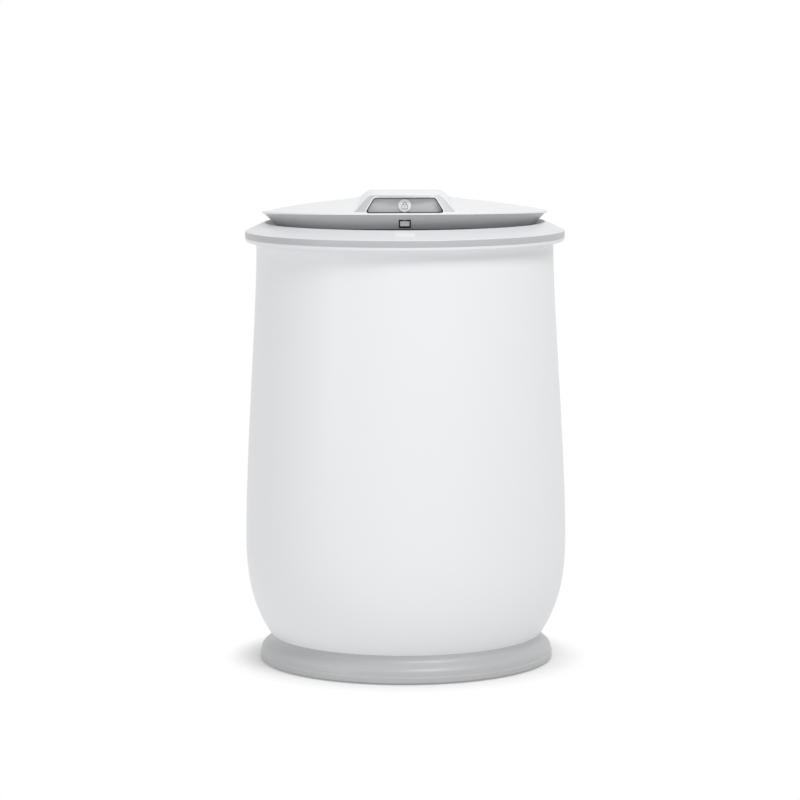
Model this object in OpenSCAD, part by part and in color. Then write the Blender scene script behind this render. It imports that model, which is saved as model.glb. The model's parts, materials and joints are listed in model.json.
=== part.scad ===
// Laundry spin dryer: barrel cabinet on a round base, catch tub, sprung motor and drum, hinged lid.
// Origin at the centre of the footprint on the floor, +Z up, lid handle towards -Y. Millimetres.

/* [Cabinet] */
// Radius of the cabinet at its widest
belly_r = 171.5; // [168:0.5:176]
// Height of the widest part
belly_z = 133; // [120:1:150]
// Radius of the cabinet below the rim
neck_r = 158; // [155:0.5:161]
// Height of the rim that carries the deck
rim_z = 454.6; // [440:0.2:480]
// How far the rolled rim stands out beyond the neck
rim_flare = 11.6; // [9:0.2:13]
// Cabinet wall thickness
cabinet_wall = 2.6; // [2:0.1:3.4]

/* [Base] */
// Radius of the base ring at the floor
base_r = 157.2; // [154:0.1:160]
// How far the cabinet's seam stands in from the base ring
seam_in = 11.4; // [9:0.2:14]
// Height of that seam
seam_z = 28.8; // [27:0.2:34]
// Gap between the base ring and the floor
base_gap = 2; // [1:0.5:4]
// Height of the rubber feet
foot_h = 12; // [10:0.5:13]
// Radius of a foot
foot_r = 12; // [10:0.5:15]
// How far the middle of a foot stands in from the shelf of the base ring
foot_inset = 16; // [15:0.5:24]
// Thickness of the steel base plate
plate_t = 2.5; // [1.5:0.5:3]

/* [Deck] */
// How far the deck band stands out over the rim
deck_over = 0.4; // [0.2:0.1:1]
// Height of the upright band round the deck
band_h = 6.6; // [5:0.2:8]
// Width of the slope from the band to the crest
slope_w = 21; // [19:0.5:23]
// Height of the crest above the rim
crest_h = 15.4; // [14:0.2:18]
// Width of the funnel from the crest to the loading mouth
funnel_w = 45; // [43:0.5:50]
// Wall thickness of the deck
deck_t = 3; // [2.4:0.1:3.2]
// Width of the blank status window
inlay_w = 20.7; // [12:0.5:30]

/* [Tub] */
// Space between the catch tub and the outside of the neck
tub_space = 15; // [14:0.5:18]
// Height of the underside of the tub floor
tub_z = 160; // [158:0.5:164]
// Tub wall thickness
tub_wall = 2.2; // [1.8:0.1:2.6]

/* [Drum] */
// Space between the drum and the outside of the tub
drum_space = 22; // [19:0.5:27]
// Sheet thickness of the drum
drum_t = 1.2; // [0.8:0.1:1.6]
// Height of the drum floor
drum_z = 182; // [180:0.5:186]
// Gap between the drum and the deck mouth
drum_gap = 7; // [5:0.5:12]
// Radius of a drain hole in the drum
drum_hole_r = 2.8; // [2:0.1:4]
// Drain holes round the drum
drum_hole_n = 24; // [12:2:36]
// Rows of drain holes
drum_hole_rows = 6; // [3:1:9]
// Gap between the press plate and the mouth
press_gap = 5; // [3:0.5:20]

/* [Motor] */
// Radius of the motor can
motor_r = 58; // [54:0.5:60]
// Radius of the drum shaft
shaft_r = 7; // [6:0.5:8]
// Radius of the brake wheel
brake_r = 38; // [34:0.5:40]
// Mean radius of a suspension spring
spring_r = 12; // [10:0.5:13]
// Free space between the base plate and the motor frame
spring_space = 44; // [42:1:46]

/* [Lid] */
// How far the lid's brim stands out beyond the crest
brim_over = 2.7; // [1.5:0.1:3.5]
// Gap between the closed brim and the deck crest
brim_gap = 2.3; // [2:0.1:4]
// Rise of the dome above the brim
dome_rise = 17.2; // [12:0.2:22]
// Wall thickness of the lid shell
lid_t = 2.4; // [1.8:0.1:2.6]
// Angle at which the lid rests ajar
lid_rest_angle = 2.449; // [0.5:0.001:8]
// Height of the handle hood at the front
hood_h = 20.7; // [19.5:0.1:24]
// Half width of the hood at the brim
hood_base_w = 57; // [54:0.5:62]
// Half width of the finger recess at its sill
recess_w = 38.6; // [36:0.2:40]
// Radius of the round badge
badge_r = 6.6; // [5:0.1:6.6]
// Travel of the latch bolt
bolt_travel = 6; // [5:0.1:6]

/* [Outlets] */
// Outer radius of the drain spout
spout_r = 8; // [7:0.1:9]
// Length of the spout outside the cabinet
spout_len = 11.8; // [10:0.1:12]
// Radius of the hole for the mains cord
cord_hole_r = 3.75; // [3:0.05:4.5]
// Height of the outlets
outlet_z = 46; // [44:0.5:48]

/* [Hidden] */

$fn = 96;
eps = 0.01;
far = 400;
bore_gap = 0.1;
run_gap = 0.05;

white = [0.95, 0.96, 0.97];
light_grey = [0.80, 0.81, 0.82];
grey = [0.66, 0.67, 0.68];
steel = [0.72, 0.73, 0.74];
zinc = [0.62, 0.63, 0.65];
black = [0.10, 0.10, 0.11];
copper = [0.72, 0.42, 0.22];
blue_grey = [0.35, 0.40, 0.46];

screw_r = 2;
head_r = 3.6;
head_h = 2.2;

// Heights and radii that follow from the sizes above
rim_r = neck_r + rim_flare;
deck_r = rim_r + deck_over;
crest_r = deck_r - slope_w;
mouth_r = crest_r - funnel_w;
brim_r = crest_r + brim_over;
tub_r = neck_r - tub_space;
drum_r = tub_r - drum_space;
press_r = mouth_r - press_gap;
seam_r = base_r - seam_in;

plate_top = foot_h + plate_t;
ring_wall = 3.4;
shelf_t = 3;
shelf_r = seam_r - 17.8;
foot_ring_r = shelf_r - foot_inset;
flange_t = 3;
flange_in_r = seam_r - 12.4;
step_z = base_gap + 5.6;
step_in = 1.1;
plate_gap = 0.4;
plate_r = seam_r + 3.6;
plate_screw_ring = shelf_r + 5;
cabinet_screw_ring = seam_r - 7.9;
frame_z = plate_top + spring_space;
frame_t = 4;
frame_top = frame_z + frame_t;
crest_z = rim_z + crest_h;
shoulder_z = rim_z + band_h;
shoulder_r = deck_r - 2.2;
slope_k = (crest_z - shoulder_z) / (shoulder_r - crest_r);
lip_z = crest_z - (crest_r - mouth_r) - 3;
ring_top = lip_z - drum_gap;
ring_h = 20;
tub_flange_t = 2.4;
tub_flange_r = rim_r - 6.4;
seal_t = 1.6;
deck_screw_ring = tub_r + 6.5;
brim_z = crest_z + brim_gap;
hinge_y = brim_r + 3.3;
hinge_x = 43;
hinge_pin_r = 2;

// ---- helpers ----

function unit(v) = v / norm(v);
function bezier(a, b, c, d, n = 12) =
    [for (i = [0 : n]) let (t = i / n, u = 1 - t) u * u * u * a + 3 * u * u * t * b + 3 * u * t * t * c + t * t * t * d];
function reversed(p) = [for (i = [len(p) - 1 : -1 : 0]) p[i]];
function tangent(p, i) = unit(p[min(i + 1, len(p) - 1)] - p[max(i - 1, 0)]);
// Moves a path sideways, to the left of its direction
function inset(p, d) = [for (i = [0 : len(p) - 1]) let (t = tangent(p, i)) p[i] + d * [-t[1], t[0]]];
function corner(a, b, c, r, n) =
    r == 0 ? [b] :
    let (
        u = unit(a - b), v = unit(c - b), half = acos(u * v) / 2,
        centre = b + unit(u + v) * r / sin(half), start = b + u * r / tan(half) - centre,
        turn = (u[0] * v[1] - u[1] * v[0] > 0 ? -1 : 1) * (180 - 2 * half)
    )
    [for (i = [0 : n]) let (s = turn * i / n)
        centre + [start[0] * cos(s) - start[1] * sin(s), start[0] * sin(s) + start[1] * cos(s)]];
// Rounds each corner of a polygon by its own radius
function rounded(p, r, n = 4) =
    [for (i = [0 : len(p) - 1]) each corner(p[(i + len(p) - 1) % len(p)], p[i], p[(i + 1) % len(p)], r[i], n)];

module revolve(p) rotate_extrude() polygon(p);
module tube(ro, ri, h) difference() {
    cylinder(h = h, r = ro);
    translate([0, 0, -1]) cylinder(h = h + 2, r = ri);
}
module around(n, r, start = 0) for (i = [0 : n - 1]) rotate([0, 0, start + 360 * i / n]) translate([r, 0, 0]) children();
module box(lo, hi) translate(lo) cube(hi - lo);
module both_sides() {
    children();
    mirror([1, 0, 0]) children();
}
module along_x(x0, x1, r) translate([x0, 0, 0]) rotate([0, 90, 0]) cylinder(h = x1 - x0, r = r);

function ring_points(p, i, r, sides, ref) =
    let (t = tangent(p, i), u = unit(cross(t, ref)), w = cross(u, t))
    [for (k = [0 : sides - 1]) let (a = 360 * k / sides) p[i] + r * (cos(a) * u + sin(a) * w)];
// A round bar along a list of points; ref is a direction that the path never takes
module swept(p, r, sides, ref) {
    last = len(p) - 1;
    quads = [for (i = [0 : last - 1], k = [0 : sides - 1]) let (next = (k + 1) % sides)
        [i * sides + k, i * sides + next, (i + 1) * sides + next, (i + 1) * sides + k]];
    polyhedron(
        [for (i = [0 : last]) each ring_points(p, i, r, sides, ref)],
        concat([[for (k = [sides - 1 : -1 : 0]) k]], quads, [[for (k = [0 : sides - 1]) last * sides + k]]));
}
function helix(r, height, turns, steps) =
    [for (i = [0 : turns * steps]) let (a = 360 * i / steps) [r * cos(a), r * sin(a), height * i / (turns * steps)]];
module coil(r, wire, height, turns) translate([0, 0, wire])
    swept(helix(r, height - 2 * wire, turns, 12), wire, 6, [0, 0, 1]);
// Points between the corners of a route, one every step, with the corners rounded off
function softened(p, n) = n == 0 ? p :
    softened(concat([p[0]],
        [for (i = [0 : len(p) - 2]) each [0.75 * p[i] + 0.25 * p[i + 1], 0.25 * p[i] + 0.75 * p[i + 1]]],
        [p[len(p) - 1]]), n - 1);

// ---- base ----

module feet() color(black) around(4, foot_ring_r, 45) difference() {
    cylinder(h = foot_h, r1 = foot_r - 1, r2 = foot_r);
    translate([0, 0, -1]) cylinder(h = foot_h / 2 + 1, r = head_r + 1);
    cylinder(h = far, r = screw_r + bore_gap);
}

// One length of screw holds the feet and the base plate
base_screw_len = plate_top - foot_h / 2 + 3;
module base_screw() {
    translate([0, 0, -head_h]) cylinder(h = head_h, r = head_r);
    translate([0, 0, -eps]) cylinder(h = base_screw_len, r = screw_r);
}
module base_screws() color(zinc) {
    around(4, foot_ring_r, 45) translate([0, 0, foot_h / 2]) base_screw();
    around(6, plate_screw_ring) translate([0, 0, foot_h]) base_screw();
}

flare = bezier([base_r - step_in - 0.3, step_z + 5], [base_r - step_in - 1.6, step_z + 10.5],
    [seam_r + 0.3, step_z + 12.6], [seam_r, seam_z - 3.4], 8);

module base_ring() color(grey) difference() {
    revolve(concat(
        [[base_r, base_gap], [base_r, step_z], [base_r - step_in, step_z + 0.8]],
        flare,
        [[seam_r, seam_z], [flange_in_r, seam_z], [flange_in_r, seam_z - flange_t],
            [seam_r - ring_wall, seam_z - flange_t], [seam_r - ring_wall, plate_top + shelf_t],
            [shelf_r, plate_top + shelf_t], [shelf_r, plate_top], [plate_r + plate_gap, plate_top],
            [plate_r + plate_gap, foot_h - 1], [base_r - ring_wall, step_z - 0.6], [base_r - ring_wall, base_gap]]));
    translate([0, 0, plate_top - 1]) around(6, plate_screw_ring) cylinder(h = shelf_t + 2, r = screw_r + bore_gap);
    around(6, cabinet_screw_ring, 30) translate([0, 0, plate_top + shelf_t + 1])
        cylinder(h = far, r = screw_r + bore_gap);
}

module base_plate() color(zinc) difference() {
    translate([0, 0, foot_h]) cylinder(h = plate_t, r = plate_r);
    around(4, foot_ring_r, 45) cylinder(h = far, r = screw_r + bore_gap);
    around(6, plate_screw_ring) cylinder(h = far, r = screw_r + bore_gap);
    around(12, 34, 15) translate([0, -2, 0]) cube([20, 4, far]);
}

// ---- cabinet ----

collar_z = rim_z - 11.6;
collar_edge = rim_z - 3;
wall_path = concat(
    bezier([seam_r, seam_z], [belly_r - 5.5, seam_z + 31.2], [belly_r, belly_z - 43], [belly_r, belly_z], 14),
    [for (p = bezier([belly_r, belly_z], [belly_r - 0.3, belly_z + 92], [neck_r + 0.3, collar_z - 68],
        [neck_r, collar_z], 14)) if (p[1] > belly_z + 1) p]);
collar_path = bezier([neck_r, collar_z], [neck_r, rim_z - 6.6], [rim_r - 6, rim_z - 5.8], [rim_r, collar_edge], 7);

module cabinet_envelope() revolve(concat([[0, seam_z]], wall_path, [[0, collar_z]]));
module at_outlet(angle) rotate([0, 0, -angle]) translate([0, outlet_y, outlet_z]) rotate([-90 - outlet_tilt, 0, 0]) children();

outlet_tilt = 30;
// Radius of the cabinet at the outlets, from the two path points that stand round that height
low_i = max([for (i = [0 : len(wall_path) - 2]) if (wall_path[i][1] <= outlet_z) i]);
outlet_y = wall_path[low_i][0] + (wall_path[low_i + 1][0] - wall_path[low_i][0])
    * (outlet_z - wall_path[low_i][1]) / (wall_path[low_i + 1][1] - wall_path[low_i][1]);
gland_angle = 24;
gland_r = cord_hole_r + 3;

module cabinet() color(white) difference() {
    revolve(concat(wall_path,
        [for (p = reversed(inset(wall_path, cabinet_wall))) if (p[1] > seam_z + flange_t) p],
        [[seam_r - cabinet_wall, seam_z + flange_t], [flange_in_r, seam_z + flange_t], [flange_in_r, seam_z]]));
    around(6, cabinet_screw_ring, 30) cylinder(h = seam_z + flange_t + 1, r = screw_r + bore_gap);
    at_outlet(0) translate([0, 0, -20]) cylinder(h = 40, r = spout_r + bore_gap);
    at_outlet(gland_angle) translate([0, 0, -20]) cylinder(h = 40, r = gland_r + bore_gap);
}

// The rolled rim is a ring of its own, with a skirt that laps inside the cabinet wall
lap_h = 8;
lap_r = neck_r - cabinet_wall - bore_gap;
lap_t = 1;
module cabinet_rim() color(white) revolve(concat(collar_path, [[rim_r, rim_z], [lap_r - lap_t, rim_z],
    [lap_r - lap_t, collar_z - lap_h], [lap_r, collar_z - lap_h], [lap_r, collar_z]]));

module cabinet_screws() color(zinc) around(6, cabinet_screw_ring, 30) {
    translate([0, 0, seam_z + flange_t]) cylinder(h = head_h, r = head_r);
    translate([0, 0, seam_z - flange_t - 1]) cylinder(h = 2 * flange_t + 1 + eps, r = screw_r);
}

// ---- catch tub and drain ----

sump_y = tub_r - 31;
spigot_z = tub_z - 14;
spigot_in_r = spout_r - 1.8;
tub_hole_r = 34;
tub_collar_h = 5;
wire_r = 3;
harness_end = [24, -149, rim_z + tub_flange_t];

module catch_tub() color(light_grey) difference() {
    union() {
        revolve([[tub_hole_r, tub_z], [tub_r, tub_z], [tub_r, rim_z], [tub_flange_r, rim_z],
            [tub_flange_r, rim_z + tub_flange_t], [tub_r - tub_wall, rim_z + tub_flange_t],
            [tub_r - tub_wall, tub_z + tub_wall], [tub_hole_r + tub_wall, tub_z + tub_wall],
            [tub_hole_r + tub_wall, tub_z + tub_collar_h], [tub_hole_r, tub_z + tub_collar_h]]);
        translate([0, sump_y, spigot_z]) cylinder(h = tub_z - spigot_z + 1, r = spout_r);
    }
    translate([0, sump_y, spigot_z - 1]) cylinder(h = tub_z - spigot_z + tub_wall + 2, r = spigot_in_r);
    around(8, deck_screw_ring, 22.5) translate([0, 0, rim_z - 1]) cylinder(h = 5, r = screw_r + bore_gap);
    translate(harness_end - [0, 0, 5]) cylinder(h = 6, r = wire_r + 1);
}

spout_in = 20;
hose_bend_r = (outlet_y - spout_in * cos(outlet_tilt) - sump_y) / (1 - sin(outlet_tilt));
hose_bend_z = outlet_z + spout_in * sin(outlet_tilt) + hose_bend_r * cos(outlet_tilt);
hose_r = spout_r + 1.6;

hose_sides = 12;
hose_path = concat([[0, sump_y, spigot_z]],
    [for (i = [0 : 8]) let (a = 180 + (90 - outlet_tilt) * i / 8)
        [0, sump_y + hose_bend_r * (1 + cos(a)), hose_bend_z + hose_bend_r * sin(a)]]);
module hose_sleeve(r, h) {
    translate([0, sump_y, spigot_z - h + 10]) cylinder(h = h, r = r);
    at_outlet(0) translate([0, 0, -spout_in - h + 9]) cylinder(h = h, r = r);
}
module drain_hose() color(black) difference() {
    union() {
        swept(hose_path, hose_r, hose_sides, [1, 0, 0]);
        hose_sleeve(spout_r + 2.4, 12);
    }
    hose_sleeve(spout_r + bore_gap, 9);
    translate([0, sump_y, spigot_z - 1]) cylinder(h = 12, r = spout_r + bore_gap);
    swept(hose_path, spigot_in_r, hose_sides, [1, 0, 0]);
}

module drain_spout() color(grey) difference() {
    union() {
        at_outlet(0) translate([0, 0, -spout_in]) cylinder(h = spout_in + spout_len, r = spout_r);
        difference() {
            at_outlet(0) translate([0, 0, -4]) cylinder(h = 7, r = spout_r + 4.5);
            cabinet_envelope();
        }
    }
    at_outlet(0) translate([0, 0, -spout_in - 1]) cylinder(h = spout_in + spout_len + 2, r = spigot_in_r);
}

module cord_gland() color(black) difference() {
    union() {
        at_outlet(gland_angle) translate([0, 0, -9]) cylinder(h = 13, r = gland_r);
        difference() {
            at_outlet(gland_angle) translate([0, 0, -4]) cylinder(h = 7, r = gland_r + 3);
            cabinet_envelope();
        }
    }
    at_outlet(gland_angle) translate([0, 0, -10]) cylinder(h = 16, r = cord_hole_r);
}

rib_in_r = tub_flange_r - 6.2;
rib_out_r = tub_flange_r - 1.8;
module tub_seal() color(black) translate([0, 0, rim_z + tub_flange_t]) tube(rib_out_r, rib_in_r, seal_t);

// ---- deck ----

slope_drop = deck_t * sqrt(1 + slope_k * slope_k);
funnel_out = deck_t * sqrt(2);
under_z = (shoulder_z + (shoulder_r - crest_r + crest_z - funnel_out) * slope_k - slope_drop) / (1 + slope_k);
under_r = crest_r - crest_z + under_z + funnel_out;
rib_top = rim_z + tub_flange_t + seal_t;
function slope_z(r) = shoulder_z + (shoulder_r - r) * slope_k;
module slope_layer(lift, depth) revolve([[crest_r, slope_z(crest_r) + lift - depth], [shoulder_r, shoulder_z + lift - depth],
    [shoulder_r, shoulder_z + lift], [crest_r, slope_z(crest_r) + lift]]);
module window_place(grow) intersection() {
    slope_layer(eps, 1.2 + eps + grow);
    box([-inlay_w / 2 - grow, -crest_r - 13 - grow, rim_z], [inlay_w / 2 + grow, -crest_r - 6 + grow, brim_z]);
}

bolt_w = 4.8;
bolt_top = brim_z - 6.4;
bolt_h = 5.3;
bolt_tip = brim_r - 10.4;
keeper_gap = 0.5;
slot_w = bolt_w + 1.4;

module deck() color(light_grey) difference() {
    union() {
        revolve(rounded(
            [[deck_r, rim_z], [deck_r, shoulder_z - 0.7], [shoulder_r, shoulder_z], [crest_r, crest_z],
                [mouth_r, crest_z - crest_r + mouth_r], [mouth_r, lip_z], [mouth_r + deck_t, lip_z],
                [mouth_r + deck_t, crest_z - crest_r + mouth_r + deck_t - funnel_out],
                [under_r, under_z], [rib_in_r, slope_z(rib_in_r) - slope_drop], [rib_in_r, rib_top],
                [rib_out_r, rib_top], [rib_out_r, rib_top + 1], [tub_flange_r + 0.4, rib_top + 1],
                [tub_flange_r + 0.4, rim_z]],
            [0, 1.6, 1.2, 1.5, 2, 1, 1, 0, 0, 0, 0, 0, 0, 0, 0]));
        around(8, deck_screw_ring, 22.5) translate([0, 0, rim_z + tub_flange_t])
            cylinder(h = under_z - 0.6 - rim_z - tub_flange_t, r = 4);
    }
    around(8, deck_screw_ring, 22.5) translate([0, 0, rim_z]) cylinder(h = under_z - 4 - rim_z, r = screw_r + bore_gap);
    window_place(0);
    box([-slot_w, -crest_r - 1.5, bolt_top - bolt_h - 1.3], [slot_w, -mouth_r - 20, bolt_top + keeper_gap]);
}

module status_window() color(white) window_place(-0.05);

module latch_strike() color(steel) {
    box([-11, -crest_r - 4, rim_z + tub_flange_t], [11, -crest_r + 3, rim_z + tub_flange_t + 1.5]);
    box([-11, -crest_r - 4, rim_z + tub_flange_t + 1.5 - eps], [11, -crest_r - 2.5, bolt_top - 1.7]);
}

module deck_screws() color(zinc) around(8, deck_screw_ring, 22.5) {
    translate([0, 0, rim_z - head_h]) cylinder(h = head_h, r = head_r);
    translate([0, 0, rim_z - eps]) cylinder(h = under_z - 5 - rim_z, r = screw_r);
}

module at_hinge() translate([0, hinge_y, brim_z]) children();
module deck_below() revolve([[0, rim_z - 1], [deck_r + 1, rim_z - 1], [deck_r + 1, shoulder_z], [shoulder_r, shoulder_z],
    [crest_r, crest_z], [0, crest_z]]);

module hinge_brackets() color(light_grey) both_sides() difference() {
    union() {
        for (x = [[hinge_x - 11, hinge_x - 5.3], [hinge_x + 15, hinge_x + 18]]) {
            at_hinge() along_x(x[0], x[1], 4);
            box([x[0], hinge_y - 4, rim_z], [x[1], hinge_y + 4, brim_z]);
        }
        box([hinge_x - 11, hinge_y - 4, rim_z], [hinge_x + 18, hinge_y + 4, brim_z - 4]);
    }
    deck_below();
    at_hinge() along_x(0, hinge_x + 20, hinge_pin_r);
}

module hinge_pins() color(steel) both_sides() at_hinge() along_x(hinge_x - 11, hinge_x + 18, hinge_pin_r);

module lid_springs() color(zinc) both_sides() at_hinge() translate([hinge_x + 5.6, 0, 0]) rotate([0, 90, 0])
    coil(3, 0.6, 9.2, 6);

// ---- electrical parts on the base and under the deck ----

cap_r = 18;
cap_h = 58;
cap_ring = shelf_r - cap_r - 6;
module on_base(angle, r) rotate([0, 0, angle]) translate([r, 0, plate_top]) children();

module capacitor() color(light_grey) on_base(210, cap_ring) cylinder(h = cap_h, r = cap_r);

module capacitor_clamp() color(zinc) on_base(210, cap_ring) {
    translate([0, 0, 20]) tube(cap_r + 1.5, cap_r, 12);
    box([cap_r, -6, 0], [cap_r + 1.5, 6, 21]);
    box([cap_r, -6, 0], [cap_r + 5, 6, 1.5]);
}

module control_box() color(blue_grey) on_base(330, shelf_r - 18) {
    box([-9, -26, 0], [9, 26, 42]);
    box([-14, -5, 0], [14, 5, 3]);
}

// Harness route: out of the control box, up between tub and cabinet, to the lid switch
harness_route = softened([[95, -55, plate_top + 42], [95, -55, plate_top + 66], [124, -76, plate_top + 96],
    [129, -75, plate_top + 150], [129, -75, tub_z + 120], [129, -75, rim_z - 60], [110, -101, rim_z - 34],
    [60, -137, rim_z - 24], harness_end - [0, 0, 17], harness_end], 2);
module wire_harness() color(black) swept(harness_route, wire_r, 8, [0.6, 0.2, 0.1]);

lever_y = bolt_tip + bolt_travel + 0.4;
lever_z = bolt_top - bolt_h;
switch_x = 14;

lever_h = 3;
lever_pin_r = 0.7;
module at_lever_pin(z) translate([switch_x - 1.5, -lever_y - 0.6, z]) children();

module lid_switch() color(blue_grey) {
    box([switch_x, -lever_y - 4, rim_z + tub_flange_t], [switch_x + 15, -lever_y + 1.5, rim_z + tub_flange_t + 5.5]);
    box([switch_x - 2.6, -lever_y - 4, rim_z + tub_flange_t], [switch_x + 1, -lever_y + 1.5, lever_z - 0.2]);
    at_lever_pin(rim_z + tub_flange_t + 1) cylinder(h = lever_z + lever_h - rim_z - tub_flange_t - 1, r = lever_pin_r);
}

module switch_lever() color(steel) difference() {
    union() {
        box([-4, -lever_y - 0.6, lever_z], [switch_x - 1.5, -lever_y, lever_z + lever_h]);
        at_lever_pin(lever_z) cylinder(h = lever_h, r = 1.3);
    }
    at_lever_pin(lever_z - 1) cylinder(h = lever_h + 2, r = lever_pin_r + run_gap);
}

bracket_y = 80;
cable_x = -40;
cable_z = frame_z - 14.5;

module cable_bracket() color(zinc) difference() {
    union() {
        box([cable_x - 7, bracket_y, plate_top], [cable_x + 7, bracket_y + 2, cable_z + 6]);
        box([cable_x - 7, bracket_y, plate_top], [cable_x + 7, bracket_y + 12, plate_top + 2]);
    }
    translate([cable_x, bracket_y - 1, cable_z]) rotate([-90, 0, 0]) cylinder(h = 4, r = ferrule_r + bore_gap);
}

cable_r = 2.2;
ferrule_r = 2.8;
ferrule_y = bracket_y - 4;
cable_route = softened([[cable_x, bracket_y + 4, cable_z], [cable_x, bracket_y + 20, cable_z],
    [cable_x - 2, 126, cable_z + 8], [cable_x - 6, 138, cable_z + 50], [cable_x - 10, 140.5, cable_z + 100],
    [cable_x - 10, 140.5, tub_z + 120], [cable_x - 10, 140.5, rim_z - 60], [cable_x - 10, 140.5, rim_z]], 2);

module brake_cable() color(black) {
    translate([cable_x, ferrule_y, cable_z]) rotate([-90, 0, 0]) tube(ferrule_r, 1.3, 12);
    swept(cable_route, cable_r, 8, [1, 0, 0.1]);
}

// ---- suspension and motor ----

arm_ring = 95;
cup_t = 4;
spigot_r = spring_r - 3.4;
frame_r = motor_r + 14;
lug_ring = motor_r + 5;

module spring_places() around(3, arm_ring, 30) children();
module lower_spring_cups() color(black) spring_places() translate([0, 0, plate_top]) {
    cylinder(h = cup_t, r = spring_r + 4);
    cylinder(h = cup_t + 8, r = spigot_r);
}
module suspension_springs() color(zinc) spring_places() translate([0, 0, plate_top + cup_t])
    coil(spring_r, 1.5, spring_space - 2 * cup_t, 5);
module upper_spring_cups() color(black) spring_places() translate([0, 0, frame_z - cup_t]) {
    cylinder(h = cup_t, r = spring_r + 4);
    translate([0, 0, -8]) cylinder(h = cup_t + 8, r = spigot_r);
}

module motor_frame() color(zinc) translate([0, 0, frame_z]) difference() {
    linear_extrude(frame_t) union() {
        circle(r = frame_r);
        for (i = [0 : 2]) rotate(30 + 120 * i) {
            translate([0, -14]) square([arm_ring, 28]);
            translate([arm_ring, 0]) circle(r = spring_r + 6);
        }
    }
    translate([0, 0, -1]) cylinder(h = frame_t + 2, r = 22);
    translate([0, 0, -1]) around(4, lug_ring, 45) cylinder(h = frame_t + 2, r = bolt_r + bore_gap);
}

bell_h = 12;
can_h = 40;
bell_wall = 3;
bearing_r = 16;
bearing_h = 9;
can_z = frame_top + bell_h;
bell_z = can_z + can_h;
bell_top = bell_z + bell_h;
neck_top = tub_z - 10;

bell_t = 4;
boss_r = bearing_r + 4;
lug_r = 7.5;
bolt_r = 2.5;

module lower_end_bell() color(grey) translate([0, 0, frame_top]) difference() {
    union() {
        revolve([[shaft_r + 2, 0], [motor_r, 0], [motor_r, bell_h], [motor_r - bell_wall, bell_h],
            [motor_r - bell_wall, bell_t], [boss_r, bell_t], [boss_r, bell_h], [bearing_r, bell_h],
            [bearing_r, bell_h - bearing_h], [shaft_r + 2, bell_h - bearing_h]]);
        around(4, lug_ring, 45) cylinder(h = bell_t, r = lug_r);
    }
    translate([0, 0, -1]) around(4, lug_ring, 45) cylinder(h = bell_t + 2, r = bolt_r + bore_gap);
}

module motor_can() color(zinc) translate([0, 0, can_z]) tube(motor_r, motor_r - 2, can_h);

// The upper bell is the same cup turned over, with a longer neck on its outer side
module upper_end_bell() color(grey) difference() {
    union() {
        revolve([[shaft_r + 2, bell_top - bell_t], [motor_r - bell_wall, bell_top - bell_t],
            [motor_r - bell_wall, bell_z], [motor_r, bell_z], [motor_r, bell_top], [boss_r, bell_top],
            [boss_r, neck_top], [bearing_r, neck_top], [bearing_r, neck_top - bearing_h],
            [shaft_r + 2, neck_top - bearing_h]]);
        translate([0, 0, bell_top - bell_t]) around(4, lug_ring, 45) cylinder(h = bell_t, r = lug_r);
    }
    translate([0, 0, bell_z]) around(4, lug_ring, 45) cylinder(h = bell_h + 1, r = bolt_r + bore_gap);
}

rotor_r = motor_r - 26;
module stator_core() color(zinc) translate([0, 0, can_z + 5]) tube(motor_r - 2, rotor_r + 0.8, can_h - 10);
module windings() color(copper) for (z = [can_z, bell_z - 5])
    translate([0, 0, z]) tube(motor_r - 6, rotor_r + 4, 5);
module motor_rotor() color(steel) translate([0, 0, can_z + 4]) tube(rotor_r, shaft_r, can_h - 8);
module shaft_bearings() color(steel) for (z = [frame_top + bell_h - bearing_h, neck_top - bearing_h])
    translate([0, 0, z]) tube(bearing_r, shaft_r + run_gap, bearing_h);

module motor_bolts() color(steel) around(4, lug_ring, 45) {
    translate([0, 0, frame_z - 3]) cylinder(h = 3, r = 4.5);
    translate([0, 0, frame_z - eps]) cylinder(h = bell_top - frame_z + 5, r = bolt_r);
    translate([0, 0, bell_top]) tube(4.5, bolt_r - eps, 4);
}

module shaft_bellows() color(black) {
    revolve([[boss_r, tub_z - 20], [boss_r + 2, tub_z - 20], [boss_r + 2, tub_z - 12], [boss_r + 8, tub_z - 15],
        [boss_r + 12, tub_z - 8], [boss_r + 14, tub_z - 2], [tub_hole_r + 10, tub_z - 2], [tub_hole_r + 10, tub_z],
        [boss_r + 12.4, tub_z], [boss_r + 10.4, tub_z - 8], [boss_r + 7.4, tub_z - 12.6], [boss_r, tub_z - 10]]);
}

// ---- brake ----

pivot_x = 33;
pivot_y = brake_r + 20;
arm_z = cable_z - 3;
arm_in = brake_r + 15;
tip_x = cable_x - 2;
wheel_h = 12;
wheel_z = cable_z - wheel_h / 2;

module brake_pivot_pin() color(steel) {
    translate([pivot_x, pivot_y, arm_z - 2]) cylinder(h = frame_z - arm_z + 2, r = 3);
    translate([pivot_x, pivot_y, frame_z - 2]) cylinder(h = 2, r = 6);
    translate([pivot_x, pivot_y, arm_z - 2]) cylinder(h = 1.6, r = 5);
    translate([cable_x + 2, brake_r - 4, arm_z]) cylinder(h = frame_z - arm_z, r = 2);
}

module brake_arm() color(zinc) difference() {
    union() {
        translate([pivot_x, pivot_y, arm_z]) cylinder(h = 6, r = 7);
        box([tip_x, arm_in, arm_z], [pivot_x, arm_in + 7, arm_z + 6]);
        translate([cable_x, arm_in + 6, cable_z]) rotate([-90, 0, 0]) cylinder(h = 7, r = 0.9);
    }
    translate([pivot_x, pivot_y, arm_z - 1]) cylinder(h = 8, r = 3 + run_gap);
}

module brake_shoe() color(black) difference() {
    box([-12, brake_r - 4, arm_z], [12, arm_in, arm_z + 6]);
    translate([0, 0, arm_z - 1]) cylinder(h = 8, r = brake_r + 0.35);
}

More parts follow.
